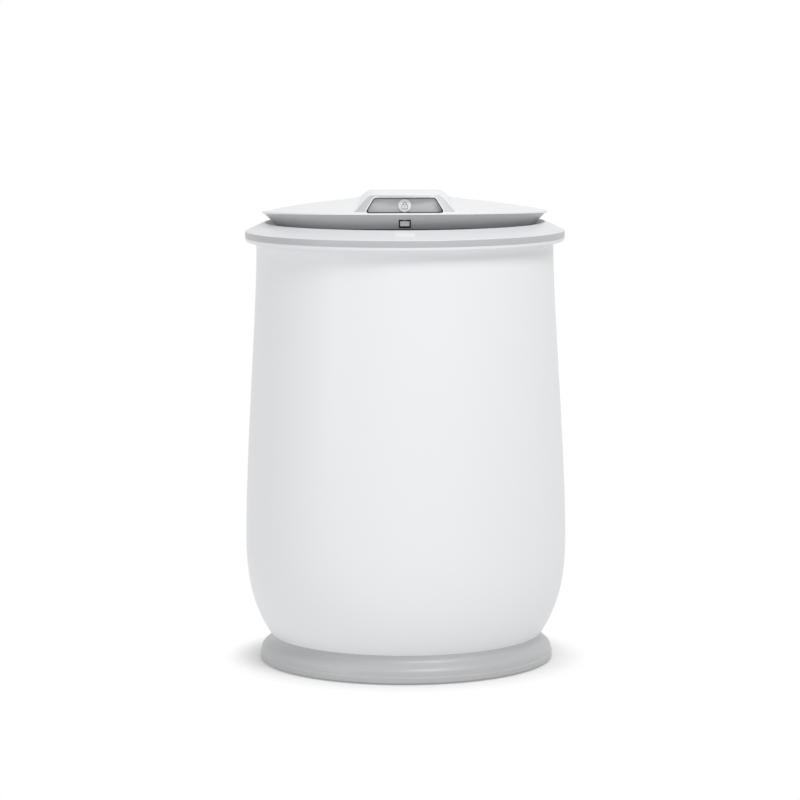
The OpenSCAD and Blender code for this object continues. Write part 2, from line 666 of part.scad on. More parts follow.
module brake_spring() color(zinc) translate([cable_x + 2, brake_r - 1.9, cable_z]) rotate([-90, 0, 0])
    coil(3, 0.6, arm_in - brake_r + 1.9, 6);

module brake_wheel() color(steel) translate([0, 0, wheel_z]) {
    tube(brake_r, brake_r - 5, wheel_h);
    translate([0, 0, 3]) tube(brake_r - 5 + eps, shaft_r, 4);
    tube(14, shaft_r, wheel_h);
}

// ---- drum ----

module drum_shaft() color(steel) translate([0, 0, wheel_z - 2]) cylinder(h = drum_z + 10 - wheel_z, r = shaft_r);

hub_t = 9;
hub_r = 60;
module drum_hub() color(zinc) difference() {
    union() {
        translate([0, 0, neck_top + 3]) cylinder(h = drum_z - drum_t - neck_top - 3, r = 14);
        translate([0, 0, drum_z - drum_t - 4]) cylinder(h = 4, r = hub_r);
        around(6, 0) translate([10, -3, drum_z - drum_t - hub_t]) cube([hub_r - 12, 6, hub_t]);
    }
    cylinder(h = far, r = shaft_r);
}

wall_top = ring_top - ring_h + 5;
module drum() color(steel) difference() {
    revolve([[shaft_r, drum_z - drum_t], [drum_r, drum_z - drum_t], [drum_r, wall_top], [drum_r - drum_t, wall_top],
        [drum_r - drum_t, drum_z], [shaft_r, drum_z]]);
    for (row = [0 : drum_hole_rows - 1]) translate([0, 0, drum_z + 20 + row * (wall_top - drum_z - 45) / (drum_hole_rows - 1)])
        around(drum_hole_n, drum_r - 5, (row % 2) * 180 / drum_hole_n) rotate([0, 90, 0]) cylinder(h = 8, r = drum_hole_r, $fn = 24);
}

module drum_nut() color(zinc) translate([0, 0, drum_z]) {
    tube(15, shaft_r, 2);
    difference() {
        cylinder(h = 7, r = 12, $fn = 6);
        translate([0, 0, -1]) cylinder(h = 9, r = shaft_r);
    }
}

module balance_ring() color(white) revolve(rounded([[drum_r + 3, ring_top - ring_h], [drum_r + 3, ring_top],
    [mouth_r + 2, ring_top], [mouth_r + 2, ring_top - ring_h], [drum_r - drum_t, ring_top - ring_h],
    [drum_r - drum_t, wall_top], [drum_r, wall_top], [drum_r, ring_top - ring_h]], [0, 4, 4, 3, 0, 0, 0, 0]));

press_t = 3;
press_lift = 10;
module press_plate() color(light_grey) translate([0, 0, drum_z]) difference() {
    union() {
        translate([0, 0, press_lift]) cylinder(h = press_t, r = press_r);
        tube(press_r - 3, press_r - 6, press_lift + eps);
        translate([0, 0, press_lift]) tube(24, 21, 12);
    }
    translate([0, 0, press_lift - 1]) {
        around(6, press_r * 0.47) cylinder(h = 5, r = 13);
        around(12, press_r * 0.78, 15) cylinder(h = 5, r = 8);
        cylinder(h = 5, r = 16);
    }
}

// ---- lid, drawn closed and turned about its hinge to where it rests ----

module lid_pose() at_hinge() rotate([-lid_rest_angle, 0, 0]) translate([0, -hinge_y, -brim_z]) children();

edge_t = 2;
cavity_r = brim_r - 5.2;
function dome_z(r) = brim_z + edge_t + (dome_rise - edge_t) * (1 - pow(r / brim_r, 2));
dome_steps = 14;
module dome(r, z0, drop) revolve(concat([[0, z0], [r, z0]],
    [for (i = [dome_steps : -1 : 0]) let (q = r * i / dome_steps) [q, dome_z(q) - drop]]));

hood_lean = 22;
hood_rise_angle = 3.5;
hood_top_w = hood_base_w - 26;
hood_right = bezier([hood_base_w, 0], [hood_base_w - 14, 1.5], [hood_base_w - 16, hood_h], [hood_top_w, hood_h], 10);
hood_back = bezier([-75, 25.2], [-45, 27], [-15, dome_rise + 3], [24, dome_rise - 3.6], 8);
// Solid of the handle hood; thin > 0 gives the same shape inside its wall
module hood(thin, floor_z) {
    side = inset(hood_right, thin);
    back = inset(hood_back, -thin);
    front_r = brim_r - 0.9 - thin / cos(hood_lean);
    translate([0, 0, brim_z]) intersection() {
        translate([0, -brim_r + 7, 0]) rotate([90 + hood_rise_angle, 0, 0]) translate([0, 0, -far / 2]) linear_extrude(far)
            polygon(concat([[side[0][0], -20]], side, [for (p = reversed(side)) [-p[0], p[1]]], [[-side[0][0], -20]]));
        revolve([[0, floor_z], [front_r - floor_z * tan(hood_lean), floor_z], [front_r - 40 * tan(hood_lean), 40], [0, 40]]);
        rotate([90, 0, 90]) translate([0, 0, -far / 2]) linear_extrude(far)
            polygon(concat([[-far / 2, -5], [-far / 2, 45], [back[0][0] - eps, 45]], back, [[back[len(back) - 1][0], -5]]));
    }
}

recess_z0 = 2.2;
hood_floor = 0.8;
recess_z1 = hood_h - 3.5;
recess_k = 0.607;
function recess_points(grow) =
    let (side = grow * sqrt(1 + recess_k * recess_k), low = recess_w + side + grow * recess_k,
        high = recess_w - recess_k * (recess_z1 - recess_z0) + side - grow * recess_k)
    rounded([[low, recess_z0 - grow], [high, recess_z1 + grow], [-high, recess_z1 + grow], [-low, recess_z0 - grow]],
        [3 + grow / 2, 5 + grow / 2, 5 + grow / 2, 3 + grow / 2]);
module recess_bar(grow, y0, y1) translate([0, y1, brim_z]) rotate([90, 0, 0]) linear_extrude(y1 - y0) polygon(recess_points(grow));

lid_screw_ring = brim_r - 46.7;
floor_drop = 20;
liner_t = 2.2;
leaf_y = hinge_y - 35;
liner_top = brim_z - floor_drop + liner_t;

module lid_shell() color(white) lid_pose() difference() {
    union() {
        difference() {
            union() {
                dome(brim_r, brim_z, 0);
                hood(0, 0);
            }
            dome(cavity_r, brim_z - 1, lid_t);
            hood(lid_t, hood_floor);
        }
        around(4, lid_screw_ring, 45) translate([0, 0, liner_top])
            cylinder(h = dome_z(lid_screw_ring) - lid_t / 2 - liner_top, r = 4);
        both_sides() translate([hinge_x, leaf_y + 5, brim_z]) cylinder(h = dome_z(leaf_y + 5) - 1.5 - brim_z, r = 4);
    }
    recess_bar(0, -brim_r - 10, -brim_r + 14);
    around(4, lid_screw_ring, 45) translate([0, 0, liner_top - 1]) cylinder(h = 13, r = screw_r + bore_gap);
    both_sides() translate([hinge_x, leaf_y + 5, brim_z - 1]) cylinder(h = 5, r = screw_r + bore_gap);
}

skirt_r = brim_r - 2.2;
skirt_in = liner_t * sqrt(2);
gasket_r = 1;
groove_gap = 0.25;
gasket_at = [skirt_r - 15.5 - 0.1, brim_z - 15.5 + 0.1];
module lid_liner() color(grey) lid_pose() difference() {
    revolve([[0, brim_z - floor_drop], [skirt_r - floor_drop, brim_z - floor_drop], [skirt_r, brim_z],
        [skirt_r - skirt_in, brim_z], [skirt_r - skirt_in - (brim_z - liner_top), liner_top], [0, liner_top]]);
    box([-bolt_w - 1.35, -skirt_r - 5, brim_z - 13.6], [bolt_w + 1.35, -skirt_r + 24, brim_z - 5]);
    both_sides() box([hinge_x - 5.2, leaf_y - 20, brim_z - 1.6], [hinge_x + 5.2, far, brim_z + 1]);
    around(4, lid_screw_ring, 45) cylinder(h = far * 2, r = screw_r + bore_gap);
    rotate_extrude() translate(gasket_at) circle(r = gasket_r + groove_gap, $fn = 24);
}

module lid_gasket() color(black) lid_pose() rotate_extrude() translate(gasket_at) circle(r = gasket_r, $fn = 24);

module lid_screws() color(zinc) lid_pose() {
    around(4, lid_screw_ring, 45) {
        translate([0, 0, brim_z - floor_drop - head_h]) cylinder(h = head_h, r = head_r);
        translate([0, 0, brim_z - floor_drop - eps]) cylinder(h = 12, r = screw_r);
    }
    both_sides() translate([hinge_x, leaf_y + 5, brim_z]) {
        translate([0, 0, -1.5 - head_h]) cylinder(h = head_h, r = head_r);
        translate([0, 0, -1.5 - eps]) cylinder(h = 5, r = screw_r);
    }
}

module hinge_leaves() color(steel) lid_pose() both_sides() difference() {
    union() {
        box([hinge_x - 5, leaf_y, brim_z - 1.5], [hinge_x + 5, hinge_y, brim_z]);
        at_hinge() along_x(hinge_x - 5, hinge_x + 5, 3.4);
    }
    at_hinge() along_x(0, hinge_x + 10, hinge_pin_r + run_gap);
    translate([hinge_x, leaf_y + 5, brim_z - 2]) cylinder(h = 3, r = screw_r + bore_gap);
}

paddle_y = -brim_r + 17.7;
paddle_z = brim_z + 8;
tray_t = 1.3;
tray_back = paddle_y + 11;
pin_x = recess_w - 1.2;
module at_paddle() translate([0, paddle_y, paddle_z]) children();

module handle_tray() color(grey) lid_pose() difference() {
    intersection() {
        union() {
            recess_bar(tray_t, -brim_r, tray_back);
            at_paddle() along_x(-pin_x - 0.5, pin_x + 0.5, 3);
        }
        hood(lid_t, hood_floor);
    }
    recess_bar(0, -brim_r - 10, tray_back - tray_t);
    at_paddle() along_x(-pin_x - 1, pin_x + 1, 1.5 + run_gap);
    box([-3, paddle_y - 6.5, brim_z - 1], [3, paddle_y + 3, brim_z + 4]);
}

module lock_paddle() color(light_grey) lid_pose() {
    recess_bar(-0.8, paddle_y - 3, paddle_y - 0.5);
    at_paddle() along_x(-pin_x, pin_x, 1.5);
    at_paddle() along_x(-recess_w + 8, recess_w - 8, 2.4);
    box([-2, paddle_y - 1, bolt_top - bolt_h + 0.9], [2, paddle_y + 1, paddle_z]);
    translate([0, paddle_y - 3 + eps, brim_z + recess_z0 + 7]) rotate([90, 0, 0]) cylinder(h = 1.5, r = badge_r);
}

guide_y0 = -skirt_r + 25.5;
guide_y1 = guide_y0 + 22;
module latch_guide() color(grey) lid_pose() difference() {
    box([-9, guide_y0, liner_top], [9, guide_y1, bolt_top + 3]);
    box([-bolt_w - bore_gap, guide_y0 - 1, bolt_top - bolt_h - bore_gap], [bolt_w + bore_gap, guide_y1 + 1, bolt_top + bore_gap]);
}

module latch_bolt() color(light_grey) lid_pose() difference() {
    box([-bolt_w, -bolt_tip, bolt_top - bolt_h], [bolt_w, guide_y1 - 6, bolt_top]);
    box([-2.6, paddle_y - 2.6, bolt_top - bolt_h - 1], [2.6, paddle_y + 2.6, bolt_top + 1]);
}

feet();
base_screws();
base_ring();
base_plate();
cabinet();
cabinet_rim();
cabinet_screws();
deck();
status_window();
latch_strike();
deck_screws();
tub_seal();
catch_tub();
drain_hose();
drain_spout();
cord_gland();
hinge_brackets();
hinge_pins();
lid_springs();
capacitor();
capacitor_clamp();
control_box();
wire_harness();
lid_switch();
switch_lever();
cable_bracket();
brake_cable();
lower_spring_cups();
suspension_springs();
upper_spring_cups();
motor_frame();
lower_end_bell();
motor_can();
upper_end_bell();
stator_core();
windings();
shaft_bearings();
motor_bolts();
shaft_bellows();
brake_pivot_pin();
brake_arm();
brake_shoe();
brake_spring();
drum_shaft();
motor_rotor();
brake_wheel();
drum_hub();
drum();
drum_nut();
balance_ring();
press_plate();
lid_shell();
lid_liner();
lid_gasket();
lid_screws();
hinge_leaves();
handle_tray();
latch_guide();
lock_paddle();
latch_bolt();
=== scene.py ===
# %% [markdown]
# # A round laundry spin dryer
#
# The frame holds every working piece at its real size: base, cabinet, tub, drum, motor, brake and lid.
# This script dresses it. Round shells are turned again with smooth curves and soft edges, the lid gets
# its blended hood, and every piece gets a finish: moulded plastic, enamel, rubber, zinc or steel.

# %% The frame and its box
import json
import math

import bmesh
import bpy
from mathutils import Matrix, Vector


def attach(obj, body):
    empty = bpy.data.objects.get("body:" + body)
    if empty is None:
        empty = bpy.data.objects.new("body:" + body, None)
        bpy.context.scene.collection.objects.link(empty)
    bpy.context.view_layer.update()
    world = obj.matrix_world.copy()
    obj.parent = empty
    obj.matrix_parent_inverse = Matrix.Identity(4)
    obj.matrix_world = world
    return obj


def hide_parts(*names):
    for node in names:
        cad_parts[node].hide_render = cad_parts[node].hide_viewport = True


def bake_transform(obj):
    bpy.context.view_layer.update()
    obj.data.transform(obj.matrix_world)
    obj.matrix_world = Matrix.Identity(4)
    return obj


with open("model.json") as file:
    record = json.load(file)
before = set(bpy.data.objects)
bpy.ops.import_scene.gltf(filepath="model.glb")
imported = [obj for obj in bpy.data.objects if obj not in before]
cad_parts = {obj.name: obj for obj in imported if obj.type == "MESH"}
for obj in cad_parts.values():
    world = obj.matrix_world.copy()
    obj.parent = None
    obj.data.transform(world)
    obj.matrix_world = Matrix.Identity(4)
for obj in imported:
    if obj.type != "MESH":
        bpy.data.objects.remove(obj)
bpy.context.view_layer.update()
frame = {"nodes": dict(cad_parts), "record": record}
MM = 0.001

# %% [markdown]
# ## Camera
#
# A long lens from three and a third metres gives the flat ellipses of a catalogue picture: the deck and
# the base ring are both seen from a little above. The small sideways shift puts the object's axis four
# pixels right of the middle, and the camera was held a fifth of a degree out of level. Depth of field
# stays off, because everything is sharp in such pictures.

# %% Camera
CAMERA_PLACE = Vector((0, -3.32776, 0.67238))
CAMERA_TILT = math.radians(6.755)
CAMERA_ROLL = math.radians(0.19)
camera_data = bpy.data.cameras.new("camera")
camera_data.lens = 140.74
camera_data.sensor_width = 36
camera_data.shift_x = -0.0052
camera = bpy.data.objects.new("camera", camera_data)
camera.location = CAMERA_PLACE
camera.rotation_euler = (math.pi / 2 - CAMERA_TILT, CAMERA_ROLL, 0)
bpy.context.scene.collection.objects.link(camera)
bpy.context.scene.camera = camera
print("camera at", tuple(round(v, 3) for v in CAMERA_PLACE))

# %% [markdown]
# ## Light
#
# White plastic shows its form only by small steps of grey, so the light has to be soft but not equal from
# all sides. One panel hangs high in front, a little to the right: it draws the soft shadow under the collar
# and leaves the foot of the barrel a shade darker than its shoulder. A weaker one keeps the left flank
# alive. The world is plain white to the camera and in reflections, and dimmer to everything else.

# %% Panels of light
def panel(name, place, aim, width, height, watts):
    data = bpy.data.lights.new(name, "AREA")
    data.shape = "RECTANGLE"
    data.size = width
    data.size_y = height
    data.energy = watts
    light = bpy.data.objects.new(name, data)
    light.location = place
    light.rotation_euler = (Vector(aim) - Vector(place)).to_track_quat("-Z", "Y").to_euler()
    bpy.context.scene.collection.objects.link(light)


panel("high_panel", place=(0.75, -1.5, 2.4), aim=(0, 0, 0.3), width=1.2, height=0.8, watts=31)
panel("left_panel", place=(-2.2, -1.6, 0.9), aim=(0, 0, 0.25), width=0.8, height=1.6, watts=8.5)

# %% [markdown]
# The world needs two strengths at once, and later the floor needs two faces, so both ask what kind of ray
# is looking. A few helpers keep such node trees short.

# %% Helpers for node trees
def fill(tree, socket, value):
    """Gives a socket a plain value, or a link from the output that is passed instead."""
    if isinstance(value, (int, float, tuple)):
        socket.default_value = value
    else:
        tree.links.new(value, socket)


def math_node(tree, operation, *values, clamp=False):
    node = tree.nodes.new("ShaderNodeMath")
    node.operation = operation
    node.use_clamp = clamp
    for socket, value in zip(node.inputs, values):
        fill(tree, socket, value)
    return node.outputs[0]


def mix_shaders(tree, factor, first, second):
    node = tree.nodes.new("ShaderNodeMixShader")
    for socket, value in zip(node.inputs, (factor, first, second)):
        fill(tree, socket, value)
    return node.outputs[0]


def viewing_rays(tree):
    """One for rays that come from the camera, a reflection or a clear piece, and nought for the rest."""
    paths = tree.nodes.new("ShaderNodeLightPath")
    seen = math_node(tree, "ADD", paths.outputs["Is Camera Ray"], paths.outputs["Is Glossy Ray"], clamp=True)
    return math_node(tree, "ADD", seen, paths.outputs["Is Transmission Ray"], clamp=True)


print("helpers for node trees are ready")

# %% World
AMBIENT = 0.54
world = bpy.data.worlds.new("studio")
bpy.context.scene.world = world
world.use_nodes = True
world_tree = world.node_tree
world_tree.nodes.clear()


def background(colour, strength):
    node = world_tree.nodes.new("ShaderNodeBackground")
    node.inputs["Color"].default_value = colour
    node.inputs["Strength"].default_value = strength
    return node.outputs[0]


sky = background((0.985, 0.99, 1, 1), AMBIENT)
backdrop = background((1, 1, 1, 1), 1)
world_out = world_tree.nodes.new("ShaderNodeOutputWorld")
world_tree.links.new(mix_shaders(world_tree, viewing_rays(world_tree), sky, backdrop),
                     world_out.inputs["Surface"])
bpy.context.scene.view_settings.view_transform = "Standard"
print("world strength on the object:", AMBIENT)

# %% [markdown]
# ## Shared surface effects
#
# A finish is never one flat colour. Three effects come back in many materials, so each is a node group
# with named inputs and outputs: `moulded` for the faint mottle and orange peel of injection-moulded
# plastic, `brushed` for the drawn lines of sheet metal, and `soiled` for dust that gathers low down.

# %% Helpers for node groups
def new_group(name, inputs, outputs):
    group = bpy.data.node_groups.new(name, "ShaderNodeTree")
    for label, kind, value in inputs:
        socket = group.interface.new_socket(name=label, in_out="INPUT", socket_type=kind)
        socket.default_value = value
    for label, kind in outputs:
        group.interface.new_socket(name=label, in_out="OUTPUT", socket_type=kind)
    return group, group.nodes.new("NodeGroupInput"), group.nodes.new("NodeGroupOutput")


def object_place(tree):
    return tree.nodes.new("ShaderNodeTexCoord").outputs["Object"]


def noise_node(tree, vector, scale, detail, roughness=0.5):
    node = tree.nodes.new("ShaderNodeTexNoise")
    for label, value in (("Vector", vector), ("Scale", scale), ("Detail", detail), ("Roughness", roughness)):
        fill(tree, node.inputs[label], value)
    return node.outputs["Fac"]


def mix_colour(tree, factor, first, second, blend="MIX"):
    node = tree.nodes.new("ShaderNodeMix")
    node.data_type = "RGBA"
    node.blend_type = blend
    for socket, value in ((node.inputs[0], factor), (node.inputs[6], first), (node.inputs[7], second)):
        fill(tree, socket, value)
    return node.outputs[2]


def around(tree, noise, amount, middle):
    """A value that the noise moves up and down about its middle."""
    return math_node(tree, "MULTIPLY_ADD", math_node(tree, "SUBTRACT", noise, 0.5), amount, middle)


def shaded(tree, colour, factor):
    """A colour made lighter or darker by a factor."""
    grey = tree.nodes.new("ShaderNodeCombineColor")
    for channel in grey.inputs:
        tree.links.new(factor, channel)
    return mix_colour(tree, 1.0, colour, grey.outputs[0], "MULTIPLY")


print("helpers for groups are ready")

# %% Moulded plastic
COLOUR, NUMBER, VECTOR = "NodeSocketColor", "NodeSocketFloat", "NodeSocketVector"
moulded, start, end = new_group(
    "moulded",
    [("Colour", COLOUR, (0.8, 0.8, 0.8, 1)), ("Mottle", NUMBER, 0.02), ("Roughness", NUMBER, 0.3),
     ("Patchiness", NUMBER, 0.05), ("Peel Scale", NUMBER, 900)],
    [("Colour", COLOUR), ("Roughness", NUMBER), ("Height", NUMBER)])
place = object_place(moulded)
cloud = noise_node(moulded, place, scale=9, detail=3)
patch = noise_node(moulded, place, scale=35, detail=4)
peel = noise_node(moulded, place, start.outputs["Peel Scale"], detail=2)
mottled = shaded(moulded, start.outputs["Colour"], around(moulded, cloud, start.outputs["Mottle"], 1))
patchy = around(moulded, patch, start.outputs["Patchiness"], start.outputs["Roughness"])
for label, value in (("Colour", mottled), ("Roughness", patchy), ("Height", peel)):
    moulded.links.new(value, end.inputs[label])
print("group:", moulded.name, [s.name for s in moulded.interface.items_tree])

# %% Brushed metal
TONE_SWING, ROUGHNESS_SWING = 0.25, 0.3
brushed, start, end = new_group(
    "brushed",
    [("Colour", COLOUR, (0.6, 0.6, 0.62, 1)), ("Stretch", VECTOR, (1, 1, 12)), ("Roughness", NUMBER, 0.35),
     ("Scale", NUMBER, 160)],
    [("Colour", COLOUR), ("Roughness", NUMBER), ("Height", NUMBER)])
stretch = brushed.nodes.new("ShaderNodeVectorMath")
stretch.operation = "MULTIPLY"
brushed.links.new(object_place(brushed), stretch.inputs[0])
brushed.links.new(start.outputs["Stretch"], stretch.inputs[1])
lines = noise_node(brushed, stretch.outputs[0], start.outputs["Scale"], detail=5, roughness=0.7)
streaked = shaded(brushed, start.outputs["Colour"], around(brushed, lines, TONE_SWING, 1))
uneven = around(brushed, lines, ROUGHNESS_SWING, start.outputs["Roughness"])
for label, value in (("Colour", streaked), ("Roughness", uneven), ("Height", lines)):
    brushed.links.new(value, end.inputs[label])
print("group:", brushed.name, [s.name for s in brushed.interface.items_tree])

# %% Dust low down
soiled, start, end = new_group(
    "soiled",
    [("Colour", COLOUR, (0.5, 0.5, 0.5, 1)), ("Dust", COLOUR, (0.45, 0.43, 0.40, 1)), ("Amount", NUMBER, 0.2),
     ("Top", NUMBER, 0.05)],
    [("Colour", COLOUR), ("Mask", NUMBER)])
place = object_place(soiled)
split = soiled.nodes.new("ShaderNodeSeparateXYZ")
soiled.links.new(place, split.inputs[0])
height_share = math_node(soiled, "DIVIDE", split.outputs["Z"], start.outputs["Top"])
fade = math_node(soiled, "SUBTRACT", 1, height_share, clamp=True)
spots = noise_node(soiled, place, scale=60, detail=6, roughness=0.65)
mask = math_node(soiled, "MULTIPLY", math_node(soiled, "MULTIPLY", fade, spots), start.outputs["Amount"])
dusty = mix_colour(soiled, mask, start.outputs["Colour"], start.outputs["Dust"])
for label, value in (("Colour", dusty), ("Mask", mask)):
    soiled.links.new(value, end.inputs[label])
print("group:", soiled.name, [s.name for s in soiled.interface.items_tree])

# %% [markdown]
# ## Finishes
#
# Each finish is a Principled material that takes its colour, roughness and bump height from the groups.
# The numbers that are the same all over, such as coat or metal, are set on the shader itself.

# %% Building one finish
def srgb(red, green, blue):
    """The linear colour of an 8-bit one, because shaders work in linear light."""
    def linear(value):
        share = value / 255
        return share / 12.92 if share <= 0.04045 else ((share + 0.055) / 1.055) ** 2.4
    return linear(red), linear(green), linear(blue), 1.0


def new_finish(name, metallic=0.0, coat=0.0, specular=0.5):
    material = bpy.data.materials.new(name)
    material.use_nodes = True
    shader = material.node_tree.nodes["Principled BSDF"]
    shader.inputs["Metallic"].default_value = metallic
    shader.inputs["Coat Weight"].default_value = coat
    shader.inputs["Coat Roughness"].default_value = 0.08
    shader.inputs["Specular IOR Level"].default_value = specular
    return material, material.node_tree, shader


def add_group(tree, group, **values):
    node = tree.nodes.new("ShaderNodeGroup")
    node.node_tree = group
    for label, value in values.items():
        node.inputs[label.replace("_", " ")].default_value = value
    return node


def add_bump(tree, shader, height, strength, distance):
    bump = tree.nodes.new("ShaderNodeBump")
    bump.inputs["Strength"].default_value = strength
    bump.inputs["Distance"].default_value = distance
    tree.links.new(height, bump.inputs["Height"])
    tree.links.new(bump.outputs["Normal"], shader.inputs["Normal"])


print("helpers for finishes are ready")

# %% Plastics, paint and rubber
def plastic(name, colour, roughness, mottle, peel, coat=0.0, grain=2e-5, dust=0.0, dust_top=0.05,
            patchiness=0.05, specular=0.5):
    material, tree, shader = new_finish(name, coat=coat, specular=specular)
    skin = add_group(tree, moulded, Colour=srgb(*colour), Mottle=mottle, Roughness=roughness,
                     Patchiness=patchiness, Peel_Scale=peel)
    surface = skin.outputs["Colour"]
    if dust:
        dirt = add_group(tree, soiled, Amount=dust, Top=dust_top)
        tree.links.new(surface, dirt.inputs["Colour"])
        surface = dirt.outputs["Colour"]
    tree.links.new(surface, shader.inputs["Base Color"])
    tree.links.new(skin.outputs["Roughness"], shader.inputs["Roughness"])
    add_bump(tree, shader, skin.outputs["Height"], 0.4, grain)
    return material


PLASTICS = {
    "white_gloss": ((240, 241, 243), 0.38, dict(mottle=0.008, peel=500, coat=0.06, grain=3e-6,
                                                patchiness=0.02, specular=0.4)),
    "deck_grey": ((229, 231, 233), 0.34, dict(mottle=0.02, peel=1400, grain=6e-6)),
    # The next finish is the deck's own grey made darker: painted shade for the deck's upright band.
    "band_grey_painted_shade": ((190, 192, 195), 0.34, dict(mottle=0.02, peel=1400, grain=6e-6)),
    "bezel_grey": ((197, 198, 200), 0.36, dict(mottle=0.02, peel=1500, grain=6e-6)),
    # The tray's grey is darker than its own colour, so the gaps round the paddle show painted shade.
    "tray_grey_and_gap_shade": ((104, 105, 107), 0.5, dict(mottle=0.02, peel=1500)),
    "sign_grey": ((158, 160, 163), 0.4, dict(mottle=0.02, peel=1500, grain=4e-6)),
    "satin_grey": ((186, 187, 188), 0.36, dict(mottle=0.03, peel=1600, dust=0.15, dust_top=0.02)),
    "skirt_grey": ((194, 195, 197), 0.34, dict(mottle=0.02, peel=1600, grain=6e-6)),
    "window_white": ((247, 247, 247), 0.18, dict(mottle=0.01, peel=500, coat=0.6, grain=4e-6)),
    "paddle_grey": ((205, 206, 208), 0.38, dict(mottle=0.02, peel=1500)),
    "rubber_black": ((38, 38, 40), 0.72, dict(mottle=0.3, peel=2200, grain=6e-5, dust=0.5)),
    "tub_plastic": ((214, 216, 214), 0.45, dict(mottle=0.05, peel=1200)),
    "motor_paint": ((96, 104, 112), 0.5, dict(mottle=0.12, peel=800, grain=5e-5)),
    "dark_plastic": ((70, 74, 80), 0.42, dict(mottle=0.08, peel=1500)),
}
FINISHES = {name: plastic(name, colour, roughness, **more)
            for name, (colour, roughness, more) in PLASTICS.items()}
print("plastics:", sorted(FINISHES))

# %% Metals
def metal(name, colour, roughness, stretch, scale, grain=2e-5):
    material, tree, shader = new_finish(name, metallic=1.0)
    skin = add_group(tree, brushed, Colour=srgb(*colour), Stretch=stretch, Roughness=roughness, Scale=scale)
    tree.links.new(skin.outputs["Colour"], shader.inputs["Base Color"])
    tree.links.new(skin.outputs["Roughness"], shader.inputs["Roughness"])
    add_bump(tree, shader, skin.outputs["Height"], 0.3, grain)
    return material


METALS = {
    "zinc_steel": ((178, 182, 188), 0.42, dict(stretch=(1, 1, 1), scale=90)),
    "bright_steel": ((206, 208, 210), 0.24, dict(stretch=(1, 1, 14), scale=150)),
    "cast_aluminium": ((170, 172, 174), 0.55, dict(stretch=(1, 1, 1), scale=420, grain=1.2e-4)),
    "copper_wire": ((196, 112, 62), 0.35, dict(stretch=(1, 1, 60), scale=60, grain=2e-4)),
    "can_aluminium": ((196, 198, 200), 0.3, dict(stretch=(1, 1, 20), scale=120)),
}
for name, (colour, roughness, more) in METALS.items():
    FINISHES[name] = metal(name, colour, roughness, **more)
print("metals:", sorted(METALS))

# %% [markdown]
# ## Finishes for the carried-over pieces
#
# The record says which finish each working piece has. The pieces keep their meshes; only their material
# slots are filled, so nothing moves.

# %% Dressing the frame's own pieces
slot_of = {row["node"]: row["material_slot"] for row in frame["record"]["subparts"]}
for node_name, piece in frame["nodes"].items():
    piece.data.materials.clear()
    piece.data.materials.append(FINISHES[slot_of[node_name]])
print("dressed", len(slot_of), "pieces of the frame")

# %% [markdown]
# ## Turned shells
#
# The cabinet, the base ring, the deck and the lid's skirt are round, so each is one closed outline that
# is spun about the machine's axis. Spinning gives even rings of faces all the way round, which shade
# smoothly, and the corners of the outline are rounded first, because a soft edge catches a line of light
# where a sharp one would look cut from paper.

# %% Outlines
def bezier(a, b, c, d, count=16):
    points = []
    for i in range(count + 1):
        t = i / count
        u = 1 - t
        points.append(tuple(u**3 * p + 3 * u * u * t * q + 3 * u * t * t * r + t**3 * w
                            for p, q, r, w in zip(a, b, c, d)))
    return points


def rounded(corners, steps=5):
    """A closed outline of (x, y, radius) corners, each rounded by an arc of its own radius."""
    outline = []
    for i, (x, y, radius) in enumerate(corners):
        here = Vector((x, y))
        back = (Vector(corners[i - 1][:2]) - here).normalized()
        ahead = (Vector(corners[(i + 1) % len(corners)][:2]) - here).normalized()
        if radius == 0 or abs(back.dot(ahead)) > 0.9999:
            outline.append((x, y))
            continue
        half = math.acos(max(-1, min(1, back.dot(ahead)))) / 2
        centre = here + (back + ahead).normalized() * radius / math.sin(half)
        first = here + back * radius / math.tan(half) - centre
        last = here + ahead * radius / math.tan(half) - centre
        turn_angle = first.angle_signed(last)
        for step in range(steps + 1):
            outline.append(tuple(centre + Matrix.Rotation(-turn_angle * step / steps, 2) @ first))
    return outline


print("outline helpers are ready")

# %% [markdown]
# Every piece is drawn in millimetres in a bmesh, with a few operators that come back: a ring of edges, a
# bridge from ring to ring, a spin, a bevel and the plain moves. One function then turns the bmesh into an
# object in metres, gives it its finish and says which body it rides on.

# %% Drawing helpers
def new_verts(made):
    """The vertices among what an operator made."""
    return [item for item in made["geom"] if isinstance(item, bmesh.types.BMVert)]


def edge_ring(work, points):
    """A closed ring of edges through the points."""
    ring = [work.verts.new(point) for point in points]
    return [work.edges.new((ring[i - 1], ring[i])) for i in range(len(ring))]


def bridge(work, rings):
    """Faces from each ring of edges to the next."""
    for near_ring, far_ring in zip(rings, rings[1:]):
        bmesh.ops.bridge_loops(work, edges=near_ring + far_ring)


def spin(work, steps, angle=math.tau):
    """Spins all that is drawn about the machine's axis; a full turn is merged where it closes."""
    bmesh.ops.spin(work, geom=[*work.verts, *work.edges], cent=(0, 0, 0), axis=(0, 0, 1), dvec=(0, 0, 0),
                   angle=angle, steps=steps, use_merge=angle == math.tau, use_duplicate=False)
    return work


def turn(outline, steps=192):
    """Spins a closed (radius, height) outline about the axis."""
    work = bmesh.new()
    edge_ring(work, [(r, 0, z) for r, z in outline])
    return spin(work, steps)


def soften(work, edges, offset, segments, clamp=False):
    """Rounds edges with a bevel."""
    bmesh.ops.bevel(work, geom=edges, offset=offset, offset_type="OFFSET", segments=segments, profile=0.5,
                    affect="EDGES", material=-1, clamp_overlap=clamp)


def shift(work, x=0, y=0, z=0):
    bmesh.ops.translate(work, vec=(x, y, z), verts=work.verts)
    return work


def rotate(work, angle, axis, centre=(0, 0, 0)):
    bmesh.ops.rotate(work, cent=centre, matrix=Matrix.Rotation(angle, 3, axis), verts=work.verts)
    return work


print("drawing helpers are ready")

